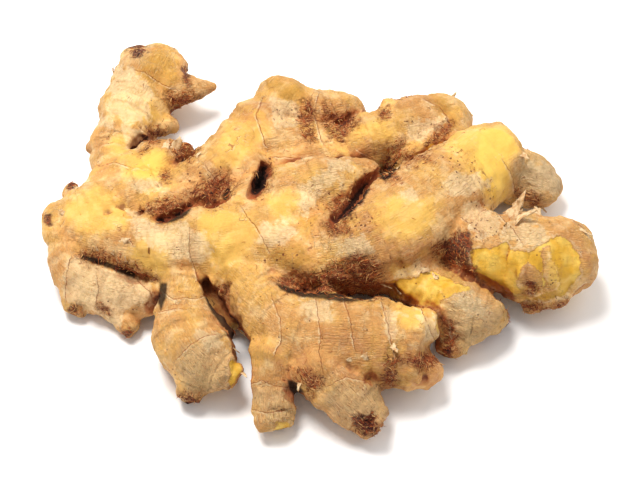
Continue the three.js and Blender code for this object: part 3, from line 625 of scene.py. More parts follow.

# %% Outlines of specked skin and of the painted shade in the gaps
OUTLINES["speck"] = [
    [(274, 107), (301, 107), (301, 126), (274, 123)], [(310, 205), (336, 204), (341, 229), (311, 226)],
    [(255, 245), (299, 239), (302, 263), (256, 269)], [(404, 119), (431, 117), (431, 129), (404, 129)],
    [(318, 190), (346, 181), (351, 201), (322, 206)], [(545, 262), (562, 260), (560, 293), (548, 292)],
    [(184, 170), (226, 164), (227, 182), (188, 186)],
    [(432, 142), (470, 150), (500, 200), (482, 216), (442, 172)],
    [(345, 205), (386, 212), (378, 246), (344, 240)], [(395, 262), (426, 261), (426, 273), (399, 279)],
    [(466, 212), (500, 216), (498, 238), (470, 240)], [(256, 160), (270, 152), (282, 170), (272, 186)],
]
# Painted shade: black painted down into the gaps, pits and folds between fingers, where shade falls.
OUTLINES["painted_gap_shade"] = [
    [(335, 222), (348, 205), (358, 191), (367, 182), (370, 188), (362, 202), (350, 214)],
    [(251, 193), (253, 180), (260, 168), (267, 166), (268, 175), (264, 186), (257, 195)],
    [(379, 176), (388, 168), (396, 160), (399, 166), (392, 176), (384, 181)],
    [(276, 283), (290, 288), (306, 290), (330, 293), (372, 296), (372, 301), (340, 301), (300, 296),
     (280, 289)],
    [(156, 219), (172, 217), (184, 210), (190, 203), (193, 206), (186, 215), (172, 222), (158, 223)],
    [(82, 255), (100, 259), (118, 266), (136, 274), (135, 278), (116, 271), (98, 264), (82, 259)],
    [(160, 283), (167, 283), (166, 296), (161, 310), (158, 300)],
    [(222, 196), (228, 188), (231, 192), (225, 202)],
    [(205, 296), (212, 300), (224, 318), (236, 336), (234, 344), (222, 326), (208, 306)],
    [(288, 380), (298, 384), (304, 392), (296, 396), (290, 390)],
]
print("speck", len(OUTLINES["speck"]), "painted_gap_shade", len(OUTLINES["painted_gap_shade"]))

# %% The camera's view of the surface
VIEW_CELL = 3
SEEN_DEPTH = 4.5  # millimetres of depth within one cell that still count as the same surface
TURNED_DEPTH, TURNED_LEAST = 9, 0.12


def in_view(places):
    """Picture pixels across and down, and millimetres of depth, of places as the camera sees them."""
    offset = places - view_eye
    depth = offset @ view_forward
    scale = VIEW_DISTANCE / depth / PIXEL
    across = PICTURE_PIXELS[0] / 2 + offset @ view_right * scale
    down = PICTURE_PIXELS[1] / 2 - offset @ view_up * scale
    return np.stack([across, down, depth], 1)


def nearest_in_view(x, y, window=3):
    """The number of the fine surface's point that the camera sees at a pixel."""
    there = np.flatnonzero((np.abs(seen[:, 0] - x) < window) & (np.abs(seen[:, 1] - y) < window))
    return there[np.argmin(seen[there, 2])]


def front_depth(view):
    """The least depth in each cell of the view, for telling what the camera sees."""
    cells = np.full([size // VIEW_CELL + 1 for size in PICTURE_PIXELS], np.inf)
    column, row = (view[:, :2] // VIEW_CELL).astype(int).T
    np.minimum.at(cells, (column, row), view[:, 2])
    return cells


seen = in_view(points)
nearest_depth = front_depth(seen)


def shown(view, facing):
    """How surely the camera sees a place, in millimetres: positive where it does."""
    column, row = (view[:, :2] // VIEW_CELL).astype(int).T
    hidden = SEEN_DEPTH - (view[:, 2] - nearest_depth[column, row])
    return np.minimum(hidden, TURNED_DEPTH * (facing + TURNED_LEAST))


print("in the view", np.round(seen.min(0), 1), "to", np.round(seen.max(0), 1))

# %% Inside the outlines
CLIP = 6.0


def inside_outline(view, outline):
    """Millimetres inside a closed outline in the view, negative outside it."""
    corners = np.array(outline, float)
    nearest = np.full(len(view), np.inf)
    inside = np.zeros(len(view), bool)
    x, y = view[:, 0], view[:, 1]
    for (ax, ay), (bx, by) in zip(corners, np.roll(corners, -1, axis=0)):
        run = np.array([bx - ax, by - ay])
        t = np.clip(((x - ax) * run[0] + (y - ay) * run[1]) / (run @ run), 0, 1)
        nearest = np.minimum(nearest, np.hypot(x - ax - t * run[0], y - ay - t * run[1]))
        if ay != by:
            inside ^= ((ay > y) != (by > y)) & (x < ax + (y - ay) / (by - ay) * run[0])
    return np.where(inside, nearest, -nearest) * PIXEL


def close_to(view, drawn, reach):
    """The numbers of the places whose pixel is within so many millimetres of the box round what is drawn."""
    low, high = np.min(drawn, axis=0) - reach / PIXEL, np.max(drawn, axis=0) + reach / PIXEL
    return np.flatnonzero(np.all((view[:, :2] > low) & (view[:, :2] < high), axis=1))


def painted(outlines, view, visible):
    """Millimetres inside the nearest of several outlines, on what the camera sees."""
    best = np.full(len(view), -CLIP)
    for outline in outlines:
        near = close_to(view, outline, CLIP)
        best[near] = np.maximum(best[near], inside_outline(view[near], outline))
    return np.minimum(best, visible)


facing_camera = shown(seen, -normals @ view_forward)
print("dry by the outlines", round(float((painted(OUTLINES["dry"], seen, facing_camera) > 0).mean()), 3))

# %% Patches on the hidden sides
HIDDEN_PATCHES = {
    "bare": 12, "ripe": 8, "glow": 16, "olive_and_shade": 8, "fibre": 22,
    "stain_and_shade": 16, "dark": 6, "dry": 12, "scuff": 24, "speck": 14,
}
PATCH_LEAST, PATCH_MOST = 2.5, 8
random = np.random.default_rng(11)
turned_away = np.flatnonzero((normals @ view_forward > 0.15) & (points[:, 2] > 1.5))
scattered = {}
for kind, count in HIDDEN_PATCHES.items():
    centres = points[random.choice(turned_away, count)]
    scattered[kind] = [(centre, random.uniform(PATCH_LEAST, PATCH_MOST)) for centre in centres]
print("patches on the hidden sides", sum(map(len, scattered.values())))

# %% How deep in each kind of patch a place is
HIDDEN_FADE = 1.5


def cover_depths(places, directions):
    """For each kind of patch, millimetres inside it at each place, negative outside, within CLIP."""
    view = in_view(places)
    visible = shown(view, -directions @ view_forward)
    depths = {}
    for kind, outlines in OUTLINES.items():
        best = painted(outlines, view, visible)
        for centre, radius in scattered.get(kind, ()):
            inside = radius - np.linalg.norm(places - centre, axis=1)
            best = np.maximum(best, np.minimum(inside, HIDDEN_FADE - visible))
        depths[kind] = np.clip(best, -CLIP, CLIP)
    depths["bare"] = np.minimum(depths["bare"], -painted(KEPT, view, visible))
    return depths, visible


depths, visible = cover_depths(points, normals)
print({kind: round(float((values > 0).mean()), 3) for kind, values in depths.items()})

# %% [markdown]
# ## Leaf scars
# A leaf scar is a thin brown line with a pale torn lip on one side, and the skin steps down there. The ones
# that the photograph shows are drawn as lines in the view. On the other sides the rings of the table take
# their place.

# %% Scars in the view
SCARS = [
    [(190, 230), (189, 250), (194, 266), (199, 282), (206, 295)],
    [(243, 210), (255, 226), (263, 240), (269, 252)],
    [(164, 292), (174, 300), (183, 297), (195, 299), (206, 296)], [(160, 312), (174, 309), (186, 309)],
    [(178, 358), (190, 345), (204, 336), (216, 335)],
    [(424, 99), (438, 106), (448, 118), (450, 129), (442, 141), (427, 151)],
    [(250, 384), (262, 381), (275, 386), (293, 388)], [(253, 410), (270, 413), (290, 409)],
    [(272, 298), (280, 318), (282, 340), (275, 354)], [(316, 300), (321, 335), (319, 352), (323, 372)],
    [(344, 298), (350, 320), (355, 350)], [(382, 303), (388, 325), (392, 345), (397, 360), (392, 386)],
    [(422, 310), (430, 330), (438, 347)], [(134, 69), (150, 75), (162, 84), (172, 88)],
    [(100, 166), (115, 162), (129, 167)], [(262, 100), (256, 116), (262, 132), (266, 146)],
    [(504, 163), (512, 175), (514, 190)], [(574, 221), (585, 230), (597, 244)],
    [(586, 284), (575, 292), (568, 306)], [(97, 278), (99, 290), (96, 302)],
    [(70, 260), (66, 280), (66, 297)], [(140, 283), (150, 292), (154, 303)],
    [(328, 386), (345, 377), (364, 381)], [(318, 97), (315, 112), (318, 128), (322, 140)],
    [(332, 104), (338, 118), (346, 131)], [(276, 157), (300, 158), (318, 155)],
    [(462, 218), (478, 230), (482, 240)], [(500, 216), (512, 228), (520, 240)],
    [(358, 150), (372, 158), (384, 166)], [(206, 166), (216, 180), (222, 196)],
    [(120, 240), (128, 238), (133, 244)],
]
SCAR_REACH = 3.0


def scar_lines(view, visible):
    """Millimetres from the nearest scar line, signed by its side, and how much of it is there."""
    nearest = np.full(len(view), SCAR_REACH)
    side = np.ones(len(view))
    for line in SCARS:
        near = close_to(view, line, SCAR_REACH)
        for (ax, ay), (bx, by) in zip(line, line[1:]):
            x, y = view[near, 0] - ax, view[near, 1] - ay
            run = np.array([bx - ax, by - ay], float)
            t = np.clip((x * run[0] + y * run[1]) / (run @ run), 0, 1)
            gap = np.hypot(x - t * run[0], y - t * run[1]) * PIXEL
            closer = gap < nearest[near]
            nearest[near[closer]] = gap[closer]
            side[near[closer]] = np.sign(x * run[1] - y * run[0])[closer]
    there = ease(nearest, 2.8, 1.6) * ease(visible, -0.5, 1.5)
    return nearest * side, there


scar_off, scar_there = scar_lines(seen, visible)
print("scar lines reach", round(float((scar_there > 0.5).mean()), 3))

# %% Where a place is on its finger
def skin_facts(places):
    """Each place in its nearest finger's own coordinates, its nearest ring, and how clear of others it is."""
    first = np.full(len(places), 1e3)
    second = np.full(len(places), 1e3)
    coordinates = np.zeros_like(places)
    ring_off = np.full(len(places), 5.0)
    ring_number = np.zeros(len(places))
    for number, finger in enumerate(fingers):
        near = finger.near(places)
        if not len(near):
            continue
        spot = places[near]
        gap, along, foot, course = finger.reach(spot)
        closer = gap < first[near]
        second[near] = np.where(closer, first[near], np.minimum(second[near], gap))
        first[near] = np.where(closer, gap, first[near])
        side = np.cross(course, [0, 0, 1.0])
        side /= np.maximum(np.linalg.norm(side, axis=1), 1e-6)[:, None]
        radial = spot - foot
        own = np.stack([along, (radial * side).sum(1), (radial * np.cross(side, course)).sum(1)], 1)
        coordinates[near[closer]] = own[closer] + [31.0 * number, 0, 0]
        if finger.ring:
            phase = finger.ring_phase(spot, along)
            off = (phase - np.round(phase)) * finger.ring
            ring_off[near[closer]] = off[closer]
            ring_number[near[closer]] = (np.round(phase) + 17 * number)[closer]
        else:
            ring_off[near[closer]] = 5.0
    clear = ease(second - first, 0.4, 2.4)
    luck = np.sin(ring_number * 12.9898) * 43758.5453
    strength = 0.35 + 0.65 * (luck - np.floor(luck))
    return coordinates, ring_off, clear, strength * clear


coordinates, ring_off, clear, ring_strength = skin_facts(points)
print("clear of other fingers", round(float((clear > 0.5).mean()), 2))

# %% Creases and folds
WIDE, NARROW = (2.5, 6.0), (1.0, 2.2)
DEEPEST = 9


def hollow_at(places, directions, steps):
    """How far down in a crease a place is: 0 on open skin, 1 where other skin is close all round."""
    here = field(places)
    total = np.zeros(len(places))
    for step in steps:
        total += 0.5 * np.clip(1 - (field(places + step * directions) - here) / step, 0, 1.2)
    return total


def sunk_at(places):
    """Millimetres below the skin that there would be without the folds."""
    return np.clip(lumps(places) - blended(fingers, places), 0, DEEPEST)


hollow = hollow_at(points, normals, WIDE)
print("hollow", round(float((hollow > 0.5).mean()), 3))

# %% [markdown]
# ## The skin's own relief
# The skin is a dry film that shrinks on the flesh. It wrinkles along the finger, steps down at each leaf
# scar where the scale leaf tore off, and stands a little proud of the worn places. All this is under half a
# millimetre, so it is added along the normals of the fine surface.

# %% Relief
BARE_RECESS = 0.3
FIBRE_ROUGHNESS = 0.4
SCAR_STEP = 0.26
CREASE_DEPTH = 0.5

ragged = noise(points, 5.5, 2) * 1.6 + noise(points, 2.2, 3) * 1.1 + noise(points, 1.1, 4) * 0.5
bare_cover = ease(depths["bare"] + 0.5 * ragged, -0.35, 0.35)
ripe_cover = ease(depths["ripe"], -1, 2)
fibre_cover = ease(depths["fibre"] + ragged, -1.2, 1.8)
dry_cover = ease(depths["dry"] + ragged, -2, 2)
along_grain = coordinates * [0.16, 1, 1]
across_grain = coordinates * [1, 0.22, 0.22]

undulation = 0.3 * noise(points, 7.5, 5) + 0.24 * noise(points, 3.6, 6)
wrinkles = clear * (0.1 + 0.25 * dry_cover) * noise(along_grain, 1.5, 7)
creasing = clear * 0.1 * noise(across_grain, 1.3, 8)
ring_steps = ease(ring_off, -0.6, 0.5) - ease(ring_off, -4.5, 4.5)
rings = SCAR_STEP * ring_strength * ease(visible, 1, -1) * ring_steps
scars = SCAR_STEP * scar_there * (ease(scar_off, -0.5, 0.5) - ease(scar_off, -2.8, 2.8))
bristle = FIBRE_ROUGHNESS * fibre_cover * (noise(points, 1.0, 9) + 0.7 * np.abs(noise(points, 1.9, 10)))
dryness = dry_cover * 0.25 * (1 - 2 * np.abs(noise(along_grain, 1.9, 12)))
pitting = 0.13 * noise(points, 1.2, 14) + 0.1 * noise(points, 2.1, 15)
surface = wrinkles + creasing - rings - scars + bristle + dryness + pitting
smooth_cover = np.maximum(bare_cover, 0.8 * ripe_cover)
relief = undulation + (1 - smooth_cover) * surface - BARE_RECESS * bare_cover
relief -= CREASE_DEPTH * ease(hollow, 0.5, 1.1)
shaped = points + normals * relief[:, None]
shaped[:, 2] = np.maximum(shaped[:, 2], 0)
print("relief from", round(float(relief.min()), 2), "to", round(float(relief.max()), 2))

# %% The mesh
MOST_TRIANGLES = 190000


def mesh_object(name, places, faces):
    """A mesh object in metres in the part's frame, from places in millimetres in the layout's."""
    mesh = bpy.data.meshes.new(name)
    mesh.from_pydata(((places - middle) * MM).tolist(), [], [list(map(int, face)) for face in faces])
    mesh.update()
    piece = bpy.data.objects.new(name, mesh)
    bpy.context.collection.objects.link(piece)
    return piece


def settle(piece):
    """Applies the modifiers of a piece."""
    shape = bpy.data.meshes.new_from_object(piece.evaluated_get(bpy.context.evaluated_depsgraph_get()))
    piece.modifiers.clear()
    piece.data = shape


root = mesh_object("root_skin", shaped, quads)
thinning = root.modifiers.new("thinning", "DECIMATE")
thinning.ratio = min(1, MOST_TRIANGLES / (2 * len(quads)))
settle(root)
root.data.shade_smooth()
print("triangles", sum(len(face.vertices) - 2 for face in root.data.polygons))

# %% [markdown]
# ## What the material reads from the mesh
# The finish is worked out by the material's nodes, so it stays crisp at any distance. The mesh only tells
# it where things are: how deep in each kind of patch a point is, how far along its finger, and how far down
# in a crease.

# %% Attributes
def vertex_places(piece):
    """A piece's vertices in the layout's millimetres."""
    flat = np.empty(3 * len(piece.data.vertices))
    piece.data.vertices.foreach_get("co", flat)
    return flat.reshape(-1, 3) / MM + middle


def attribute(piece, name, values):
    """Stores one number or one vector for each vertex."""
    if values.ndim == 1:
        piece.data.attributes.new(name, "FLOAT", "POINT").data.foreach_set("value", values)
    else:
        piece.data.attributes.new(name, "FLOAT_VECTOR", "POINT").data.foreach_set("vector", values.ravel())


final = vertex_places(root)
flat_normals = np.empty(3 * len(final))
root.data.vertices.foreach_get("normal", flat_normals)
final_normals = flat_normals.reshape(-1, 3)
final_depths, final_visible = cover_depths(final, final_normals)
coordinates, ring_off, clear, ring_strength = skin_facts(final)
scar_off, scar_there = scar_lines(in_view(final), final_visible)
skin_values = {
    "skin_coordinate": coordinates,
    "ring_off": ring_off,
    "ring_strength": ring_strength * ease(final_visible, 1, -1),
    "scar_off": scar_off,
    "scar_there": scar_there,
    "clear": clear,
    "hollow": hollow_at(final, final_normals, WIDE),
    "pinch": hollow_at(final, final_normals, NARROW),
    "sunk": sunk_at(final),
    **final_depths,
}
for name, values in skin_values.items():
    attribute(root, name, values)
print("attributes", len(skin_values))

# %% [markdown]
# ## Writing materials
# A material here is a sum of many small effects. To read like one, each value on its way through the nodes
# can be added and multiplied like a number.

# %% Values in a material
class Wire:
    """An output of a node, which adds and multiplies like a number."""

    def __init__(self, shader, socket):
        self.shader, self.socket = shader, socket

    def __add__(self, other):
        return self.shader.math("ADD", self, other)

    def __sub__(self, other):
        return self.shader.math("SUBTRACT", self, other)

    def __mul__(self, other):
        return self.shader.math("MULTIPLY", self, other)

    def __rsub__(self, other):
        return self.shader.math("SUBTRACT", other, self)

    __radd__, __rmul__ = __add__, __mul__


SHINE = 0.28  # the dry film of the skin reflects less than the usual half


class Shader:
    """A material and short names for the nodes that it is made from."""

    def __init__(self, name):
        self.material = bpy.data.materials.new(name)
        self.material.use_nodes = True
        self.tree = self.material.node_tree
        self.tree.nodes.clear()

    def node(self, kind, inputs=(), **settings):
        made = self.tree.nodes.new("ShaderNode" + kind)
        for name, value in settings.items():
            setattr(made, name, value)
        for name, value in dict(inputs).items():
            if isinstance(value, Wire):
                self.tree.links.new(value.socket, made.inputs[name])
            else:
                made.inputs[name].default_value = value
        return made

    def math(self, operation, *values):
        return Wire(self, self.node("Math", enumerate(values), operation=operation).outputs[0])

    def stored(self, name, output="Fac"):
        return Wire(self, self.node("Attribute", attribute_name=name).outputs[output])

    def millimetres(self):
        place = Wire(self, self.node("TexCoord").outputs["Object"])
        return self.scaled(place, 1 / MM)

    def scaled(self, vector, by, shift=0):
        factors = by if isinstance(by, tuple) else (by, by, by)
        inputs = {0: vector, 1: factors, 2: (shift, shift * 0.7, shift * 1.3)}
        return Wire(self, self.node("VectorMath", inputs, operation="MULTIPLY_ADD").outputs[0])

    def noise(self, vector, size, detail=2.0, roughness=0.5, seed=0, distortion=0.0, stretch=(1, 1, 1)):
        """Cloudy values round 0.5, with features about as wide as size, and longer by stretch."""
        scale = tuple(1 / (size * along) for along in stretch)
        inputs = {
            "Vector": self.scaled(vector, scale, 7.3 * seed), "Scale": 1.0, "Detail": detail,
            "Roughness": roughness, "Distortion": distortion,
        }
        return Wire(self, self.node("TexNoise", inputs).outputs["Fac"])

    def cells(self, vector, size, seed=0, output="Distance"):
        """The distance to the nearest of many scattered points, or that point's random colour."""
        inputs = {"Vector": self.scaled(vector, 1 / size, 5.1 * seed), "Scale": 1.0}
        return Wire(self, self.node("TexVoronoi", inputs).outputs[output])

    def turned(self, vector, angle):
        """A vector turned about its third axis."""
        made = self.node("VectorRotate", {"Vector": vector, "Angle": angle}, rotation_type="Z_AXIS")
        return Wire(self, made.outputs[0])

    def ease(self, value, low, high):
        inputs = {"Value": value, "From Min": low, "From Max": high}
        made = self.node("MapRange", inputs, interpolation_type="SMOOTHSTEP")
        return Wire(self, made.outputs["Result"])

    def line(self, value, width, middle=0.5):
        """1 where a value passes its middle, falling to 0 as it leaves it by width."""
        return self.ease(self.math("ABSOLUTE", value - middle), width, 0.0)

    def mix(self, first, second, share):
        made = self.node("Mix", {}, data_type="RGBA", clamp_factor=True)
        for socket, value in ((made.inputs[6], first), (made.inputs[7], second), (made.inputs[0], share)):
            if isinstance(value, Wire):
                self.tree.links.new(value.socket, socket)
            else:
                socket.default_value = value
        return Wire(self, made.outputs[2])

    def times(self, colour, factor):
        """A colour made lighter or darker by a value."""
        made = self.node("VectorMath", {0: colour, 3: factor}, operation="SCALE")
        return Wire(self, made.outputs[0])

    def finish(self, colour, roughness, height=None, subsurface=0.0, reach=(0.002, 0.001, 0.0005)):
        inputs = {"Base Color": colour, "Roughness": roughness, "Subsurface Weight": subsurface}
        principled = self.node("BsdfPrincipled", inputs)
        principled.inputs["Subsurface Radius"].default_value = reach
        principled.inputs["Subsurface Scale"].default_value = 1.0
        principled.inputs["Specular IOR Level"].default_value = SHINE
        if height is not None:
            bump = self.node("Bump", {"Height": height, "Distance": MM, "Strength": 1.0})
            self.tree.links.new(bump.outputs[0], principled.inputs["Normal"])
        output = self.node("OutputMaterial")
        self.tree.links.new(principled.outputs[0], output.inputs[0])
        return self.material


def paint(code):
    """A colour of six hex digits, as the display shows it, in linear light."""
    parts = [int(code[i : i + 2], 16) / 255 for i in (0, 2, 4)]
    return (*(part / 12.92 if part <= 0.04045 else ((part + 0.055) / 1.055) ** 2.4 for part in parts), 1.0)

# %% [markdown]
# ## The skin
# The ground is the yellow tan of the thin skin, warmer and paler in broad clouds. Over it come streaks
# along the finger and fine creases across it, pale papery scuffs, brown leaf scars with a pale lip, the
# bristly brown of the creases, the clean yellow flesh where the skin is gone, and at the end the small dark
# specks and cracks.

# %% Colours of the skin
TAN, GOLD, CREAM = paint("D99E5B"), paint("E5AF5C"), paint("ECC488")
PAPER, STREAK, RUST = paint("F0D1A0"), paint("B57438"), paint("96502A")
WINE, STRAW = paint("561A12"), paint("E2AC6C")
# The near black is the dark of fibre strands in dark spots, and the painted shade of the gaps, pits and
# folds.
UMBER, SHADE_AND_FIBRE_BLACK, EMBER, RED_BROWN = paint("642A16"), paint("130704"), paint("B86228"), paint("A44A22")
BARE_GOLD, BARE_LIGHT, BARE_DEEP = paint("D4A02C"), paint("E4BA52"), paint("AA7212")
GLOW_GOLD, OLIVE_GOLD, RIPE_GOLD = paint("EBBB52"), paint("C59036"), paint("EDC054")
DRY_TAN, DRY_GREY, DRY_BROWN = paint("ECC48C"), paint("D8AA70"), paint("8E5A30")
print("tan", np.round(TAN, 3), "bare flesh", np.round(BARE_GOLD, 3))

# %% [markdown]
# ### Torn edges
# Skin doesn't end in a clean line. The depth inside a patch is stored on the mesh in millimetres, so adding
# a cloudy value to it before the cut moves the edge in and out, in large, small and fine teeth. One edge
# serves all the patches, each with its own share of the raggedness and its own softness.

# %% Where each finish shows
skin = Shader("root_skin")
at = skin.millimetres()
own = skin.stored("skin_coordinate", "Vector")
free = skin.stored("clear")
deep, pinch = skin.stored("hollow"), skin.stored("pinch")

broad_edge = (skin.noise(at, 5.0, 2, 0.5, 19) - 0.5) * 7.0
ragged_edge = (skin.noise(at, 2.0, 4, 0.65, 1) - 0.5) * 5.0
fine_edge = (skin.noise(at, 0.7, 3, 0.6, 2) - 0.5) * 2.0
torn_edge = broad_edge + ragged_edge + fine_edge


def cover(kind, softness, raggedness=1.0):
    """How much of a kind of patch shows, with a torn edge."""
    return skin.ease(skin.stored(kind) + torn_edge * raggedness, -softness, softness)


bare = cover("bare", 0.25, 0.5)
ripe = cover("ripe", 2.0, 0.4)
glow = cover("glow", 2.2, 0.8)
olive_and_shade = cover("olive_and_shade", 1.6, 0.8)
fibre_depth = skin.stored("fibre") + torn_edge
fibre, core = skin.ease(fibre_depth, -1.8, 1.2), skin.ease(fibre_depth, 0.2, 3.0)
stain_and_shade = cover("stain_and_shade", 2.4, 1.2)
dark = cover("dark", 1.1, 0.9)
dry = cover("dry", 3.2, 1.2)
scuff = cover("scuff", 0.8, 1.1)
speck = skin.ease(skin.stored("speck"), -2.0, 1.5)
# The black of the gaps is painted shade.
painted_gap_shade = skin.ease(skin.stored("painted_gap_shade") + torn_edge * 0.12, -0.6, 0.35)
print("nodes for the patches", len(skin.tree.nodes))

# %% [markdown]
# ### Patterns
# The skin is cloudy at the size of a finger, mottled at the size of a nail, and streaked along its length,
# because the fibres run that way. The streaks are clouds in the finger's own coordinates, stretched along
# it. The creases across it are the same clouds stretched the other way.

# %% Clouds, streaks and wrinkles
clouds = skin.noise(at, 15, 3, 0.5, 3)
mottle = skin.noise(at, 5.5, 5, 0.6, 4)
grain = skin.noise(at, 1.3, 4, 0.65, 5)
streaks = skin.noise(own, 0.9, 3, 0.6, 6, stretch=(7, 1, 1))
hairlines = skin.noise(own, 0.4, 3, 0.65, 20, 0.4, stretch=(7, 1, 1))
smooth = skin.math("MAXIMUM", glow * 0.75, ripe)
rough = 1.0 - smooth * 0.85
creases = skin.noise(own, 0.55, 4, 0.65, 7, 0.3, stretch=(1, 6, 6))
film = skin.noise(own, 3.0, 4, 0.65, 8, stretch=(1.2, 2, 2))
print("nodes with the patterns", len(skin.tree.nodes))

# %% The ground colour
colour = skin.mix(TAN, GOLD, skin.ease(clouds, 0.4, 0.6))
colour = skin.mix(colour, CREAM, skin.ease(mottle, 0.46, 0.66) * 0.75)
colour = skin.mix(colour, GLOW_GOLD, glow * 0.6)
colour = skin.mix(colour, PAPER, skin.ease(film, 0.55, 0.72) * 0.4)
# Olive is partly the skin's own colour and, along the lower side of the right finger, painted shade.
colour = skin.mix(colour, OLIVE_GOLD, olive_and_shade * 0.7)
stain_shade = skin.mix(EMBER, STREAK, skin.ease(grain, 0.4, 0.6))
# On the toes this stain is also painted shade of their down-facing slopes.
colour = skin.mix(colour, stain_shade, stain_and_shade * skin.ease(mottle, 0.38, 0.62) * 0.6)
colour = skin.mix(colour, RIPE_GOLD, ripe * 0.85)
print("nodes with the ground", len(skin.tree.nodes))

# %% Dry ends, streaks and scuffs
dry_shade = skin.mix(DRY_TAN, DRY_GREY, skin.ease(mottle, 0.45, 0.7))
colour = skin.mix(colour, dry_shade, dry * 0.7)
wrinkly = skin.ease(skin.noise(at, 9.0, 3, 0.6, 24), 0.38, 0.62)
marked = free * rough * (0.35 + wrinkly * 0.65)
colour = skin.mix(colour, STREAK, skin.ease(streaks, 0.5, 0.78) * marked * 0.35)
colour = skin.mix(colour, STREAK, skin.ease(hairlines, 0.54, 0.66) * marked * (0.38 + stain_and_shade * 0.3))
colour = skin.mix(colour, DRY_BROWN, skin.ease(hairlines, 0.55, 0.68) * free * dry * 0.4)
colour = skin.mix(colour, PAPER, skin.ease(hairlines, 0.46, 0.34) * marked * (0.4 + dry * 0.35))
colour = skin.mix(colour, STREAK, skin.ease(creases, 0.55, 0.75) * marked * 0.25)
colour = skin.mix(colour, PAPER, scuff * skin.ease(grain, 0.15, 0.55) * 0.7)
print("nodes with the scuffs", len(skin.tree.nodes))

# %% [markdown]
# ### Scar lines
# A scar is a brown line with a pale lip before it and a stain behind it. All three are bands at some
# distance from the line, so one helper makes them. The line wanders and breaks off, as a torn leaf does.

# %% Leaf scars on the skin
ring_wander = (skin.noise(at, 2.2, 3, 0.6, 9) - 0.5) * 1.5
ring_off_wire = skin.stored("ring_off") + ring_wander
ring_here = skin.stored("ring_strength") * skin.ease(skin.noise(at, 3.2, 2, 0.5, 10), 0.36, 0.56)
scar_off_wire = skin.stored("scar_off") + ring_wander
scar_here = skin.stored("scar_there") * skin.ease(skin.noise(at, 3.0, 3, 0.6, 21), 0.28, 0.44)


def scar_band(ring_width, ring_middle, scar_width, scar_middle):
    """A band beside the rings of the hidden sides and beside the scars drawn in the view."""
    beside_ring = skin.line(ring_off_wire, ring_width, ring_middle) * ring_here
    return beside_ring + skin.line(scar_off_wire, scar_width, scar_middle) * scar_here


scar_line = scar_band(0.22, 0.0, 0.2, 0.0)
scar_lip = scar_band(0.4, -0.5, 0.4, -0.45) * skin.ease(mottle, 0.4, 0.54)
scar_stain = scar_band(2.0, 0.9, 1.8, 0.9)
colour = skin.mix(colour, PAPER, scar_lip * 0.75)
colour = skin.mix(colour, STREAK, scar_stain * skin.ease(grain, 0.4, 0.6) * 0.4)
colour = skin.mix(colour, RED_BROWN, scar_line * 0.7)
print("nodes with the scars", len(skin.tree.nodes))

# %% Fine cracks
crack_field = skin.noise(own, 7.0, 3, 0.6, 11, 0.6, stretch=(0.8, 1.3, 1.3))
crack_here = skin.ease(skin.noise(at, 7.0, 2, 0.5, 12), 0.54, 0.64)
crack = skin.line(crack_field, 0.006) * crack_here
crack_lip = skin.line(crack_field, 0.02, 0.516) * crack_here
colour = skin.mix(colour, PAPER, crack_lip * 0.4)
colour = skin.mix(colour, RUST, crack * 0.8)
print("nodes with the cracks", len(skin.tree.nodes))

# %% [markdown]
# ### Fibre
# Where a scale leaf rotted away its veins are left as red-brown strands, matted both ways. Two sets of
# stretched clouds cross each other: the higher of them gives the dark strands, and the lower the straw
# colour between them.

# %% Bristly fibre
tufts = skin.noise(at, 1.6, 4, 0.7, 14, 1.6)
strand_left = skin.noise(skin.turned(own, 0.7), 0.5, 2, 0.5, 13, 0.9, stretch=(5, 1, 1))
strand_right = skin.noise(skin.turned(own, -0.8), 0.5, 2, 0.5, 22, 0.9, stretch=(5, 1, 1))
strands = skin.math("MAXIMUM", strand_left, strand_right)
gaps = skin.math("MINIMUM", strand_left, strand_right)
colour = skin.mix(colour, EMBER, fibre * skin.ease(tufts, 0.3, 0.6) * 0.6)
colour = skin.mix(colour, RED_BROWN, core * skin.ease(tufts + (mottle - 0.5) * 0.8, 0.3, 0.55) * 0.85)
colour = skin.mix(colour, UMBER, fibre * skin.ease(strands + core * 0.03, 0.58, 0.64) * 0.85)
colour = skin.mix(colour, STRAW, fibre * skin.ease(gaps, 0.4, 0.34) * 0.75)
fibre_share = fibre * skin.ease(tufts, 0.3, 0.5)
print("nodes with the fibre", len(skin.tree.nodes))

# %% [markdown]
# ### Flesh
# Where the skin is rubbed off, the flesh is clear yellow, smooth and a little moist. Its edge has a pale
# lip where the skin lifts, and a brown line where the flesh has dried.

# %% Bare flesh
bare_shade = skin.mix(BARE_GOLD, BARE_LIGHT, skin.ease(skin.noise(at, 6, 2, 0.5, 15), 0.4, 0.62))
bare_veins = skin.noise(own, 1.6, 3, 0.6, 16, stretch=(6, 1, 1))
# Olive also darkens the flesh, as painted shade on the lower side of the right finger.
bare_shade = skin.mix(bare_shade, BARE_DEEP, skin.ease(bare_veins, 0.52, 0.75) * 0.4 + olive_and_shade * 0.7)
bare_only = bare * (1.0 - fibre_share * 0.9)
colour = skin.mix(colour, bare_shade, bare_only * 0.95)
bare_edge = skin.stored("bare") + torn_edge * 0.5
colour = skin.mix(colour, PAPER, skin.line(bare_edge, 0.6, -0.75) * skin.ease(mottle, 0.46, 0.6) * 0.6)
colour = skin.mix(colour, STREAK, skin.line(bare_edge, 0.3, -0.2) * skin.ease(mottle, 0.54, 0.44) * 0.6)
print("nodes with the flesh", len(skin.tree.nodes))

# %% Dark spots, on the slit partly painted shade
colour = skin.mix(colour, WINE, dark * skin.ease(tufts, 0.25, 0.5) * 0.9)
colour = skin.mix(colour, SHADE_AND_FIBRE_BLACK, dark * skin.ease(strands, 0.55, 0.66) * 0.8)
colour = skin.mix(colour, RED_BROWN, dark * skin.ease(gaps, 0.42, 0.34) * 0.9)
print("nodes with the dark spots", len(skin.tree.nodes))

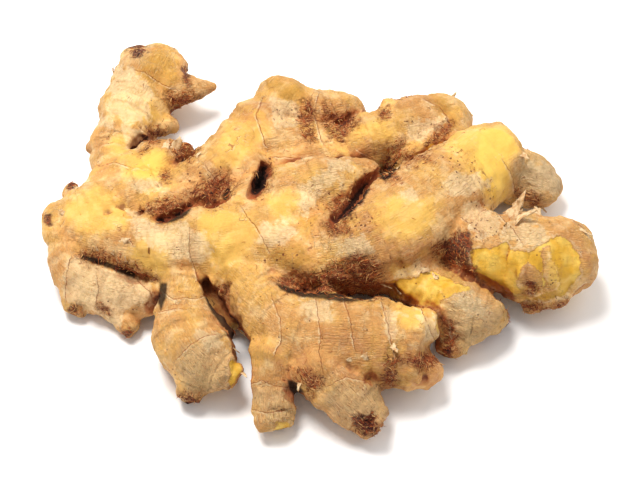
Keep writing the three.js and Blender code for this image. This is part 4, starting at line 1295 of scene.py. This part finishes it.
# %% Specks
crisp_cloud = skin.noise(at, 0.45, 2, 0.6, 23)
speck_cells = skin.cells(at, 1.6, 1)
speck_pick = skin.cells(at, 1.6, 1, output="Color")
speck_dots = skin.ease(speck_cells + (crisp_cloud - 0.5) * 1.0, 0.26, 0.17)
speck_dots = speck_dots * skin.ease(speck_pick, 0.45, 0.55)
stray_dots = skin.ease(skin.cells(at, 5.0, 2), 0.07, 0.045)
colour = skin.mix(colour, RUST, speck * skin.ease(grain, 0.5, 0.62) * 0.35)
colour = skin.mix(colour, UMBER, speck_dots * speck * 0.9)
colour = skin.mix(colour, UMBER, stray_dots * 0.75)
print("nodes with the specks", len(skin.tree.nodes))

# %% [markdown]
# ### Stain and painted shade in the creases
# Earth and old leaf stain the creases, and the shade that falls in them is painted on as well. The mesh knows
# how closed in each point is at a wide and at a narrow reach, and how far it is sunk in a fold. Each darkens
# in steps, from orange brown through red brown to black, as in the gaps of the photograph: the browns are
# partly stain and partly painted shade, and the black is painted shade.

# %% Painted shade and stain down in the creases
crease = deep * (1.0 - scuff * 0.4 - core * 0.35) + (mottle - 0.5) * 0.5 + (grain - 0.5) * 0.2
pinch = pinch * (1.0 - scuff * 0.5 - core * 0.25)
# Painted shade: the creases, folds and gaps get darker the more closed in they are; the browns are partly
# stain.
colour = skin.mix(colour, EMBER, skin.ease(crease, 0.26, 0.56) * 0.5)
colour = skin.mix(colour, RED_BROWN, skin.ease(crease, 0.46, 0.8) * 0.6)
colour = skin.mix(colour, UMBER, skin.ease(pinch + (grain - 0.5) * 0.3, 0.34, 0.64) * 0.65)
colour = skin.mix(colour, SHADE_AND_FIBRE_BLACK, skin.ease(pinch + (deep - 0.7) * 0.6, 0.55, 0.9) * 0.6)
sunk = skin.stored("sunk") + (grain - 0.5) * 1.2
colour = skin.mix(colour, RED_BROWN, skin.ease(sunk, 0.4, 2.0) * 0.8)
colour = skin.mix(colour, UMBER, skin.ease(sunk, 1.5, 3.5) * 0.8)
colour = skin.mix(colour, SHADE_AND_FIBRE_BLACK, skin.ease(sunk, 2.8, 5.5) * 0.9)
colour = skin.mix(colour, SHADE_AND_FIBRE_BLACK, painted_gap_shade * 0.9)
crisp = (crisp_cloud - 0.5) * rough * wrinkly
colour = skin.times(colour, 0.91 + (grain - 0.5) * 0.6 * rough + (mottle - 0.5) * 0.3 + crisp * 0.6)
print("nodes with the creases", len(skin.tree.nodes))

# %% [markdown]
# ### Fine relief
# What is finer than the mesh is left to bump: the fibres under the skin, the grain, and the lips of scars
# and cracks. The flesh is glossier than the skin, and the fibre and the painted black of the gaps have no
# gloss.

# %% Fine relief and gloss
skin_only = 1.0 - bare_only
lengthwise = (hairlines - 0.5) * 0.9 * free + (streaks - 0.5) * 0.35 * free
height = skin_only * rough * (lengthwise + (grain - 0.5) * 0.5)
height = height + (creases - 0.5) * 0.25 * marked * skin_only
height = height + (tufts - 0.5) * fibre_share * 1.4 + (strands - 0.5) * fibre_share * 1.3
height = height + (hairlines - 0.5) * dry * 1.0 - scar_line * 0.25 + scar_lip * 0.15
height = height - crack * 0.15 + crack_lip * 0.06
height = height + skin.noise(at, 3.0, 2, 0.5, 17) * 0.25 - speck_dots * speck * 0.12 - bare_only * 0.25
gloss = skin.noise(at, 4.0, 3, 0.5, 18)
roughness = 0.64 + (grain - 0.5) * 0.3 + fibre_share * 0.2 - bare_only * 0.2 - glow * 0.08
roughness = roughness + (gloss - 0.5) * 0.2 + painted_gap_shade * 0.3
root.data.materials.clear()
root.data.materials.append(skin.finish(colour, roughness, height, 0.1))
print("nodes in the skin", len(skin.tree.nodes))

# %% [markdown]
# ## Root hairs and torn scales
# The brown patches end in short bristles, the stubs of fine roots and of scale leaves. They are real
# pieces, because they break the root's outline. The scale leaves themselves are left as a few papery flakes
# that curl off the skin.

# %% The shape of hairs
HAIR_SIDES = 4
HAIR_STEPS = 3
HAIR_TAPER = 0.7


def frame_at(numbers):
    """Directions along the skin, across it and out of it, at points of the fine surface."""
    out = normals[numbers]
    along = np.cross([0.3, 0.2, 1.0], out)
    along /= np.linalg.norm(along, axis=-1, keepdims=True)
    return along, np.cross(out, along), out


def hair_mesh(start, heading, bend, length, radius):
    """The points and faces of many tapered hairs, from one row of each value for each hair."""
    t = np.linspace(0, 1, HAIR_STEPS + 1)[None, :, None]
    centre = start[:, None] + length[:, None, None] * (t * heading[:, None] + t * t * bend[:, None])
    side = np.cross(heading, [0.31, 0.52, 0.79])
    side /= np.linalg.norm(side, axis=1)[:, None]
    other = np.cross(heading, side)
    angle = 2 * math.pi * np.arange(HAIR_SIDES) / HAIR_SIDES
    ring = np.cos(angle)[:, None] * side[:, None] + np.sin(angle)[:, None] * other[:, None]
    size = radius[:, None, None, None] * (1 - HAIR_TAPER * t)[..., None]
    places = (centre[:, :, None] + size * ring[:, None]).reshape(-1, 3)
    turn = np.arange(HAIR_SIDES)
    beside = (turn + 1) % HAIR_SIDES
    band = np.stack([turn, beside, beside + HAIR_SIDES, turn + HAIR_SIDES], 1)
    pattern = np.vstack([band + HAIR_SIDES * step for step in range(HAIR_STEPS)])
    pattern = np.vstack([pattern, turn[::-1], turn + HAIR_SIDES * HAIR_STEPS])
    count = HAIR_SIDES * (HAIR_STEPS + 1)
    faces = pattern[None] + count * np.arange(len(start))[:, None, None]
    return places, faces.reshape(-1, HAIR_SIDES), count


print("faces of a hair", HAIR_SIDES * HAIR_STEPS + 2)

# %% Where the hairs stand
HAIR_COUNT = 5200
STRAY_HAIRS = 1000
HAIR_SINK = 0.05

clear_of_table = points[:, 2] > 3
bristly = np.maximum(depths["fibre"], depths["dark"])
likely = ease(bristly, -2.0, 2.0) ** 2 * clear_of_table * ease(sunk_at(points), 2.5, 1.0)
stray = (ease(depths["bare"], 0.5, -1) * ease(depths["ripe"], 2, -1)) * clear_of_table
rooted = random.choice(len(points), HAIR_COUNT, p=likely / likely.sum())
rooted = np.append(rooted, random.choice(len(points), STRAY_HAIRS, p=stray / stray.sum()))
count = len(rooted)
along, across, out = frame_at(rooted)
angle = random.uniform(0, 2 * math.pi, (count, 1))
rise = random.uniform(0.02, 0.45, (count, 1))
heading = np.cos(angle) * along + np.sin(angle) * across + rise * out
heading /= np.linalg.norm(heading, axis=1)[:, None]
bend = random.uniform(-0.4, 0.4, (count, 1)) * across - random.uniform(0, 0.8, (count, 1)) * rise * out
in_tuft = np.arange(count) < HAIR_COUNT
length = np.where(in_tuft, random.uniform(0.7, 2.1, count), random.uniform(0.6, 2.0, count))
radius = np.where(in_tuft, random.uniform(0.08, 0.17, count), random.uniform(0.05, 0.1, count))
foot = shaped[rooted] - HAIR_SINK * out
hair_places, hair_faces, hair_points = hair_mesh(foot, heading, bend, length, radius)
hair_places[:, 2] = np.maximum(hair_places[:, 2], 0.02)
bristle_piece = mesh_object("root_hairs", hair_places, hair_faces)
bristle_piece.data.shade_smooth()
tones = np.where(in_tuft, random.random(count), random.uniform(0.3, 1.0, count))
attribute(bristle_piece, "tone", np.repeat(tones, hair_points))
print("hairs", count, "faces", len(hair_faces))

# %% Hair material
hair = Shader("hair")
tone = hair.stored("tone")
hair_colour = hair.mix(UMBER, RED_BROWN, hair.ease(tone, 0.2, 0.5))
hair_colour = hair.mix(hair_colour, EMBER, hair.ease(tone, 0.45, 0.7))
hair_colour = hair.mix(hair_colour, STRAW, hair.ease(tone, 0.75, 0.9))
bristle_piece.data.materials.append(hair.finish(hair_colour, 0.75))
print("nodes in the hair", len(hair.tree.nodes))

# %% [markdown]
# ### Papery flakes
# A flake is a thin closed sheet of a few rows, still attached along one edge. It tilts off the skin, curls
# along its length, cups across its width, and has an uneven edge. Those in the photograph are listed, and a
# few more stand on the hidden sides.

# %% Flakes in the view
# Each row: the pixel where it is attached, its length and width in millimetres, how far it stands off the
# skin in degrees, and its heading in the view in degrees.
FLAKES = [
    [509, 216, 10, 8, 48, 40], [516, 218, 9, 5, 28, 8], [538, 213, 4.5, 4, 35, 60],
    [544, 210, 3, 2.5, 60, 20], [500, 234, 5, 3.5, 16, 60], [486, 238, 4, 3, 16, 100],
    [470, 230, 3, 2.5, 18, 110], [384, 290, 4, 4, 30, 60], [392, 293, 3, 3, 25, 20],
    [176, 148, 5, 4, 30, 60], [190, 156, 4, 3, 25, 20], [166, 146, 4, 3, 25, 80],
    [360, 363, 3, 3.5, 30, 60], [352, 362, 2, 2, 30, 180], [110, 258, 3, 1.4, 40, 60],
    [124, 265, 4, 1.2, 45, 80], [96, 254, 3, 1.2, 40, 100], [62, 212, 3, 2, 30, 150],
    [420, 268, 4, 2.4, 18, 0], [432, 272, 4, 3, 20, -40], [236, 344, 3, 1.5, 35, -60],
    [244, 372, 3, 1.5, 35, -60], [296, 382, 3, 2, 30, -90], [462, 296, 3, 2, 20, 60],
    [524, 152, 3.5, 2.5, 30, -40], [118, 243, 4, 2.5, 20, 20], [394, 346, 4, 2.5, 16, -60],
    [580, 224, 6, 2, 14, -40],
]
print("flakes in the view", len(FLAKES))

# %% The shape of a flake
FLAKE_ROWS, FLAKE_COLUMNS = 7, 6
FLAKE_THICKNESS = 0.14
FLAKE_SINK = 0.35


def flake(number, length, width, stand, bearing):
    """A curled scrap of skin that is still attached along one edge, as a thin closed sheet."""
    along, across, out = frame_at(number)
    heading = math.cos(bearing) * along + math.sin(bearing) * across
    side = np.cross(out, heading)
    curl = random.uniform(-0.6, 0.6)
    cup = random.uniform(-0.4, 0.5)
    top = []
    for row in range(FLAKE_ROWS):
        t = row / (FLAKE_ROWS - 1)
        tilt = stand + curl * (t - 0.3)
        for column in range(FLAKE_COLUMNS):
            s = 2 * column / (FLAKE_COLUMNS - 1) - 1
            reach = length * t * (1 - 0.3 * s * s + random.uniform(-0.2, 0.2) * t)
            half = 0.5 * width * (1 - 0.45 * t + random.uniform(-0.22, 0.22))
            lift = cup * s * s * width * 0.3 * t + random.uniform(-0.08, 0.08)
            place = reach * (math.cos(tilt) * heading + math.sin(tilt) * out) + s * half * side + lift * out
            top.append(shaped[number] - FLAKE_SINK * out + place)
    top = np.array(top)
    normal = np.cross(math.cos(stand) * heading + math.sin(stand) * out, side)
    count = len(top)
    places = np.vstack([top, top - FLAKE_THICKNESS * normal])
    faces = []
    for row in range(FLAKE_ROWS - 1):
        for column in range(FLAKE_COLUMNS - 1):
            a = row * FLAKE_COLUMNS + column
            quad = [a, a + 1, a + 1 + FLAKE_COLUMNS, a + FLAKE_COLUMNS]
            faces += [quad, [count + corner for corner in quad[::-1]]]
    last = count - FLAKE_COLUMNS
    rim = list(range(FLAKE_COLUMNS)) + [FLAKE_COLUMNS * (row + 2) - 1 for row in range(FLAKE_ROWS - 1)]
    rim += list(range(last + FLAKE_COLUMNS - 2, last - 1, -1))
    rim += [FLAKE_COLUMNS * row for row in range(FLAKE_ROWS - 2, 0, -1)]
    for a, b in zip(rim, rim[1:] + rim[:1]):
        faces.append([b, a, a + count, b + count])
    return places, faces


def gather(parts):
    """Several (places, faces) as one."""
    all_places, all_faces = [], []
    for places, faces in parts:
        first = len(all_places)
        all_places += list(places)
        all_faces += [[first + number for number in face] for face in faces]
    return np.array(all_places), all_faces


print("points of a flake", 2 * FLAKE_ROWS * FLAKE_COLUMNS)

# %% The flakes
HIDDEN_FLAKES = 18
HIDDEN_LEAST, HIDDEN_MOST = 2, 4

scraps = []
for x, y, length, width, stand, bearing in FLAKES:
    number = nearest_in_view(x, y)
    along_here, across_here, _ = frame_at(number)
    wanted = math.cos(math.radians(bearing)) * view_right + math.sin(math.radians(bearing)) * view_up
    turn = math.atan2(wanted @ across_here, wanted @ along_here)
    scraps.append(flake(number, length, width, math.radians(stand), turn))
for number in random.choice(turned_away[points[turned_away, 2] > 8], HIDDEN_FLAKES):
    length = random.uniform(HIDDEN_LEAST, HIDDEN_MOST)
    stand = random.uniform(0.4, 0.8)
    turn = random.uniform(0, 2 * math.pi)
    scraps.append(flake(number, length, 0.7 * length, stand, turn))
flake_places, flake_faces = gather(scraps)
flake_places[:, 2] = np.maximum(flake_places[:, 2], 0.05)
flakes = mesh_object("papery_flakes", flake_places, flake_faces)
flakes.data.shade_smooth()
print("flakes", len(scraps), "faces", len(flake_faces))

# %% Paper material
paper = Shader("paper")
paper_at = paper.millimetres()
paper_cloud = paper.noise(paper_at, 1.6, 4, 0.65, 1)
paper_colour = paper.mix(paint("B98C5E"), paint("DDBE92"), paper.ease(paper_cloud, 0.35, 0.6))
paper_fleck = paper.ease(paper.noise(paper_at, 0.6, 3, 0.6, 2), 0.56, 0.7)
paper_colour = paper.mix(paper_colour, STREAK, paper_fleck * 0.7)
flakes.data.materials.append(paper.finish(paper_colour, 0.7, paper_cloud * 0.3, 0.1))
print("nodes in the paper", len(paper.tree.nodes))

# %% What the pieces stand for
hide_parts("ginger_root")
for piece in (root, bristle_piece, flakes):
    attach(piece, "root")
print([piece.name for piece in (root, bristle_piece, flakes)])

# %% [markdown]
# ## The table and the light
# The photograph has a plain white table, lit evenly, with one soft light from the upper left that leaves
# pale shadows on the lower right.

# %% Table
FLOOR_HALF = 3.0
FLOOR_DROP = 0.0002
sides = ((-1, -1), (1, -1), (1, 1), (-1, 1))
floor_corners = [(x * FLOOR_HALF, y * FLOOR_HALF, -FLOOR_DROP) for x, y in sides]
floor_mesh = bpy.data.meshes.new("table")
floor_mesh.from_pydata(floor_corners, [], [(0, 1, 2, 3)])
table = bpy.data.objects.new("table", floor_mesh)
bpy.context.collection.objects.link(table)
white = Shader("table")
floor_mesh.materials.append(white.finish(paint("FCFBFB"), 0.85))
print("table", 2 * FLOOR_HALF, "m wide")

# %% Light
def area_light(name, place, target, size, power, colour):
    """A square soft light that faces a target."""
    data = bpy.data.lights.new(name, "AREA")
    data.size, data.energy, data.color = size, power, colour
    lamp = bpy.data.objects.new(name, data)
    bpy.context.collection.objects.link(lamp)
    lamp.location = place
    lamp.rotation_mode = "QUATERNION"
    lamp.rotation_quaternion = (Vector(target) - Vector(place)).to_track_quat("-Z", "Y")


area_light("key", (-0.25, 0.25, 0.95), (0, 0, 0), 0.4, 12.0, (1.0, 0.98, 0.95))
area_light("fill", (0.6, 0.3, 0.8), (0, 0, 0), 1.0, 3.0, (1.0, 0.98, 0.96))
world = bpy.data.worlds.new("studio")
world.use_nodes = True
background = world.node_tree.nodes["Background"].inputs
background["Color"].default_value = (1, 1, 1, 1)
background["Strength"].default_value = 0.55
bpy.context.scene.world = world
bpy.context.scene.view_settings.view_transform = "Standard"
bpy.context.scene.view_settings.look = "None"
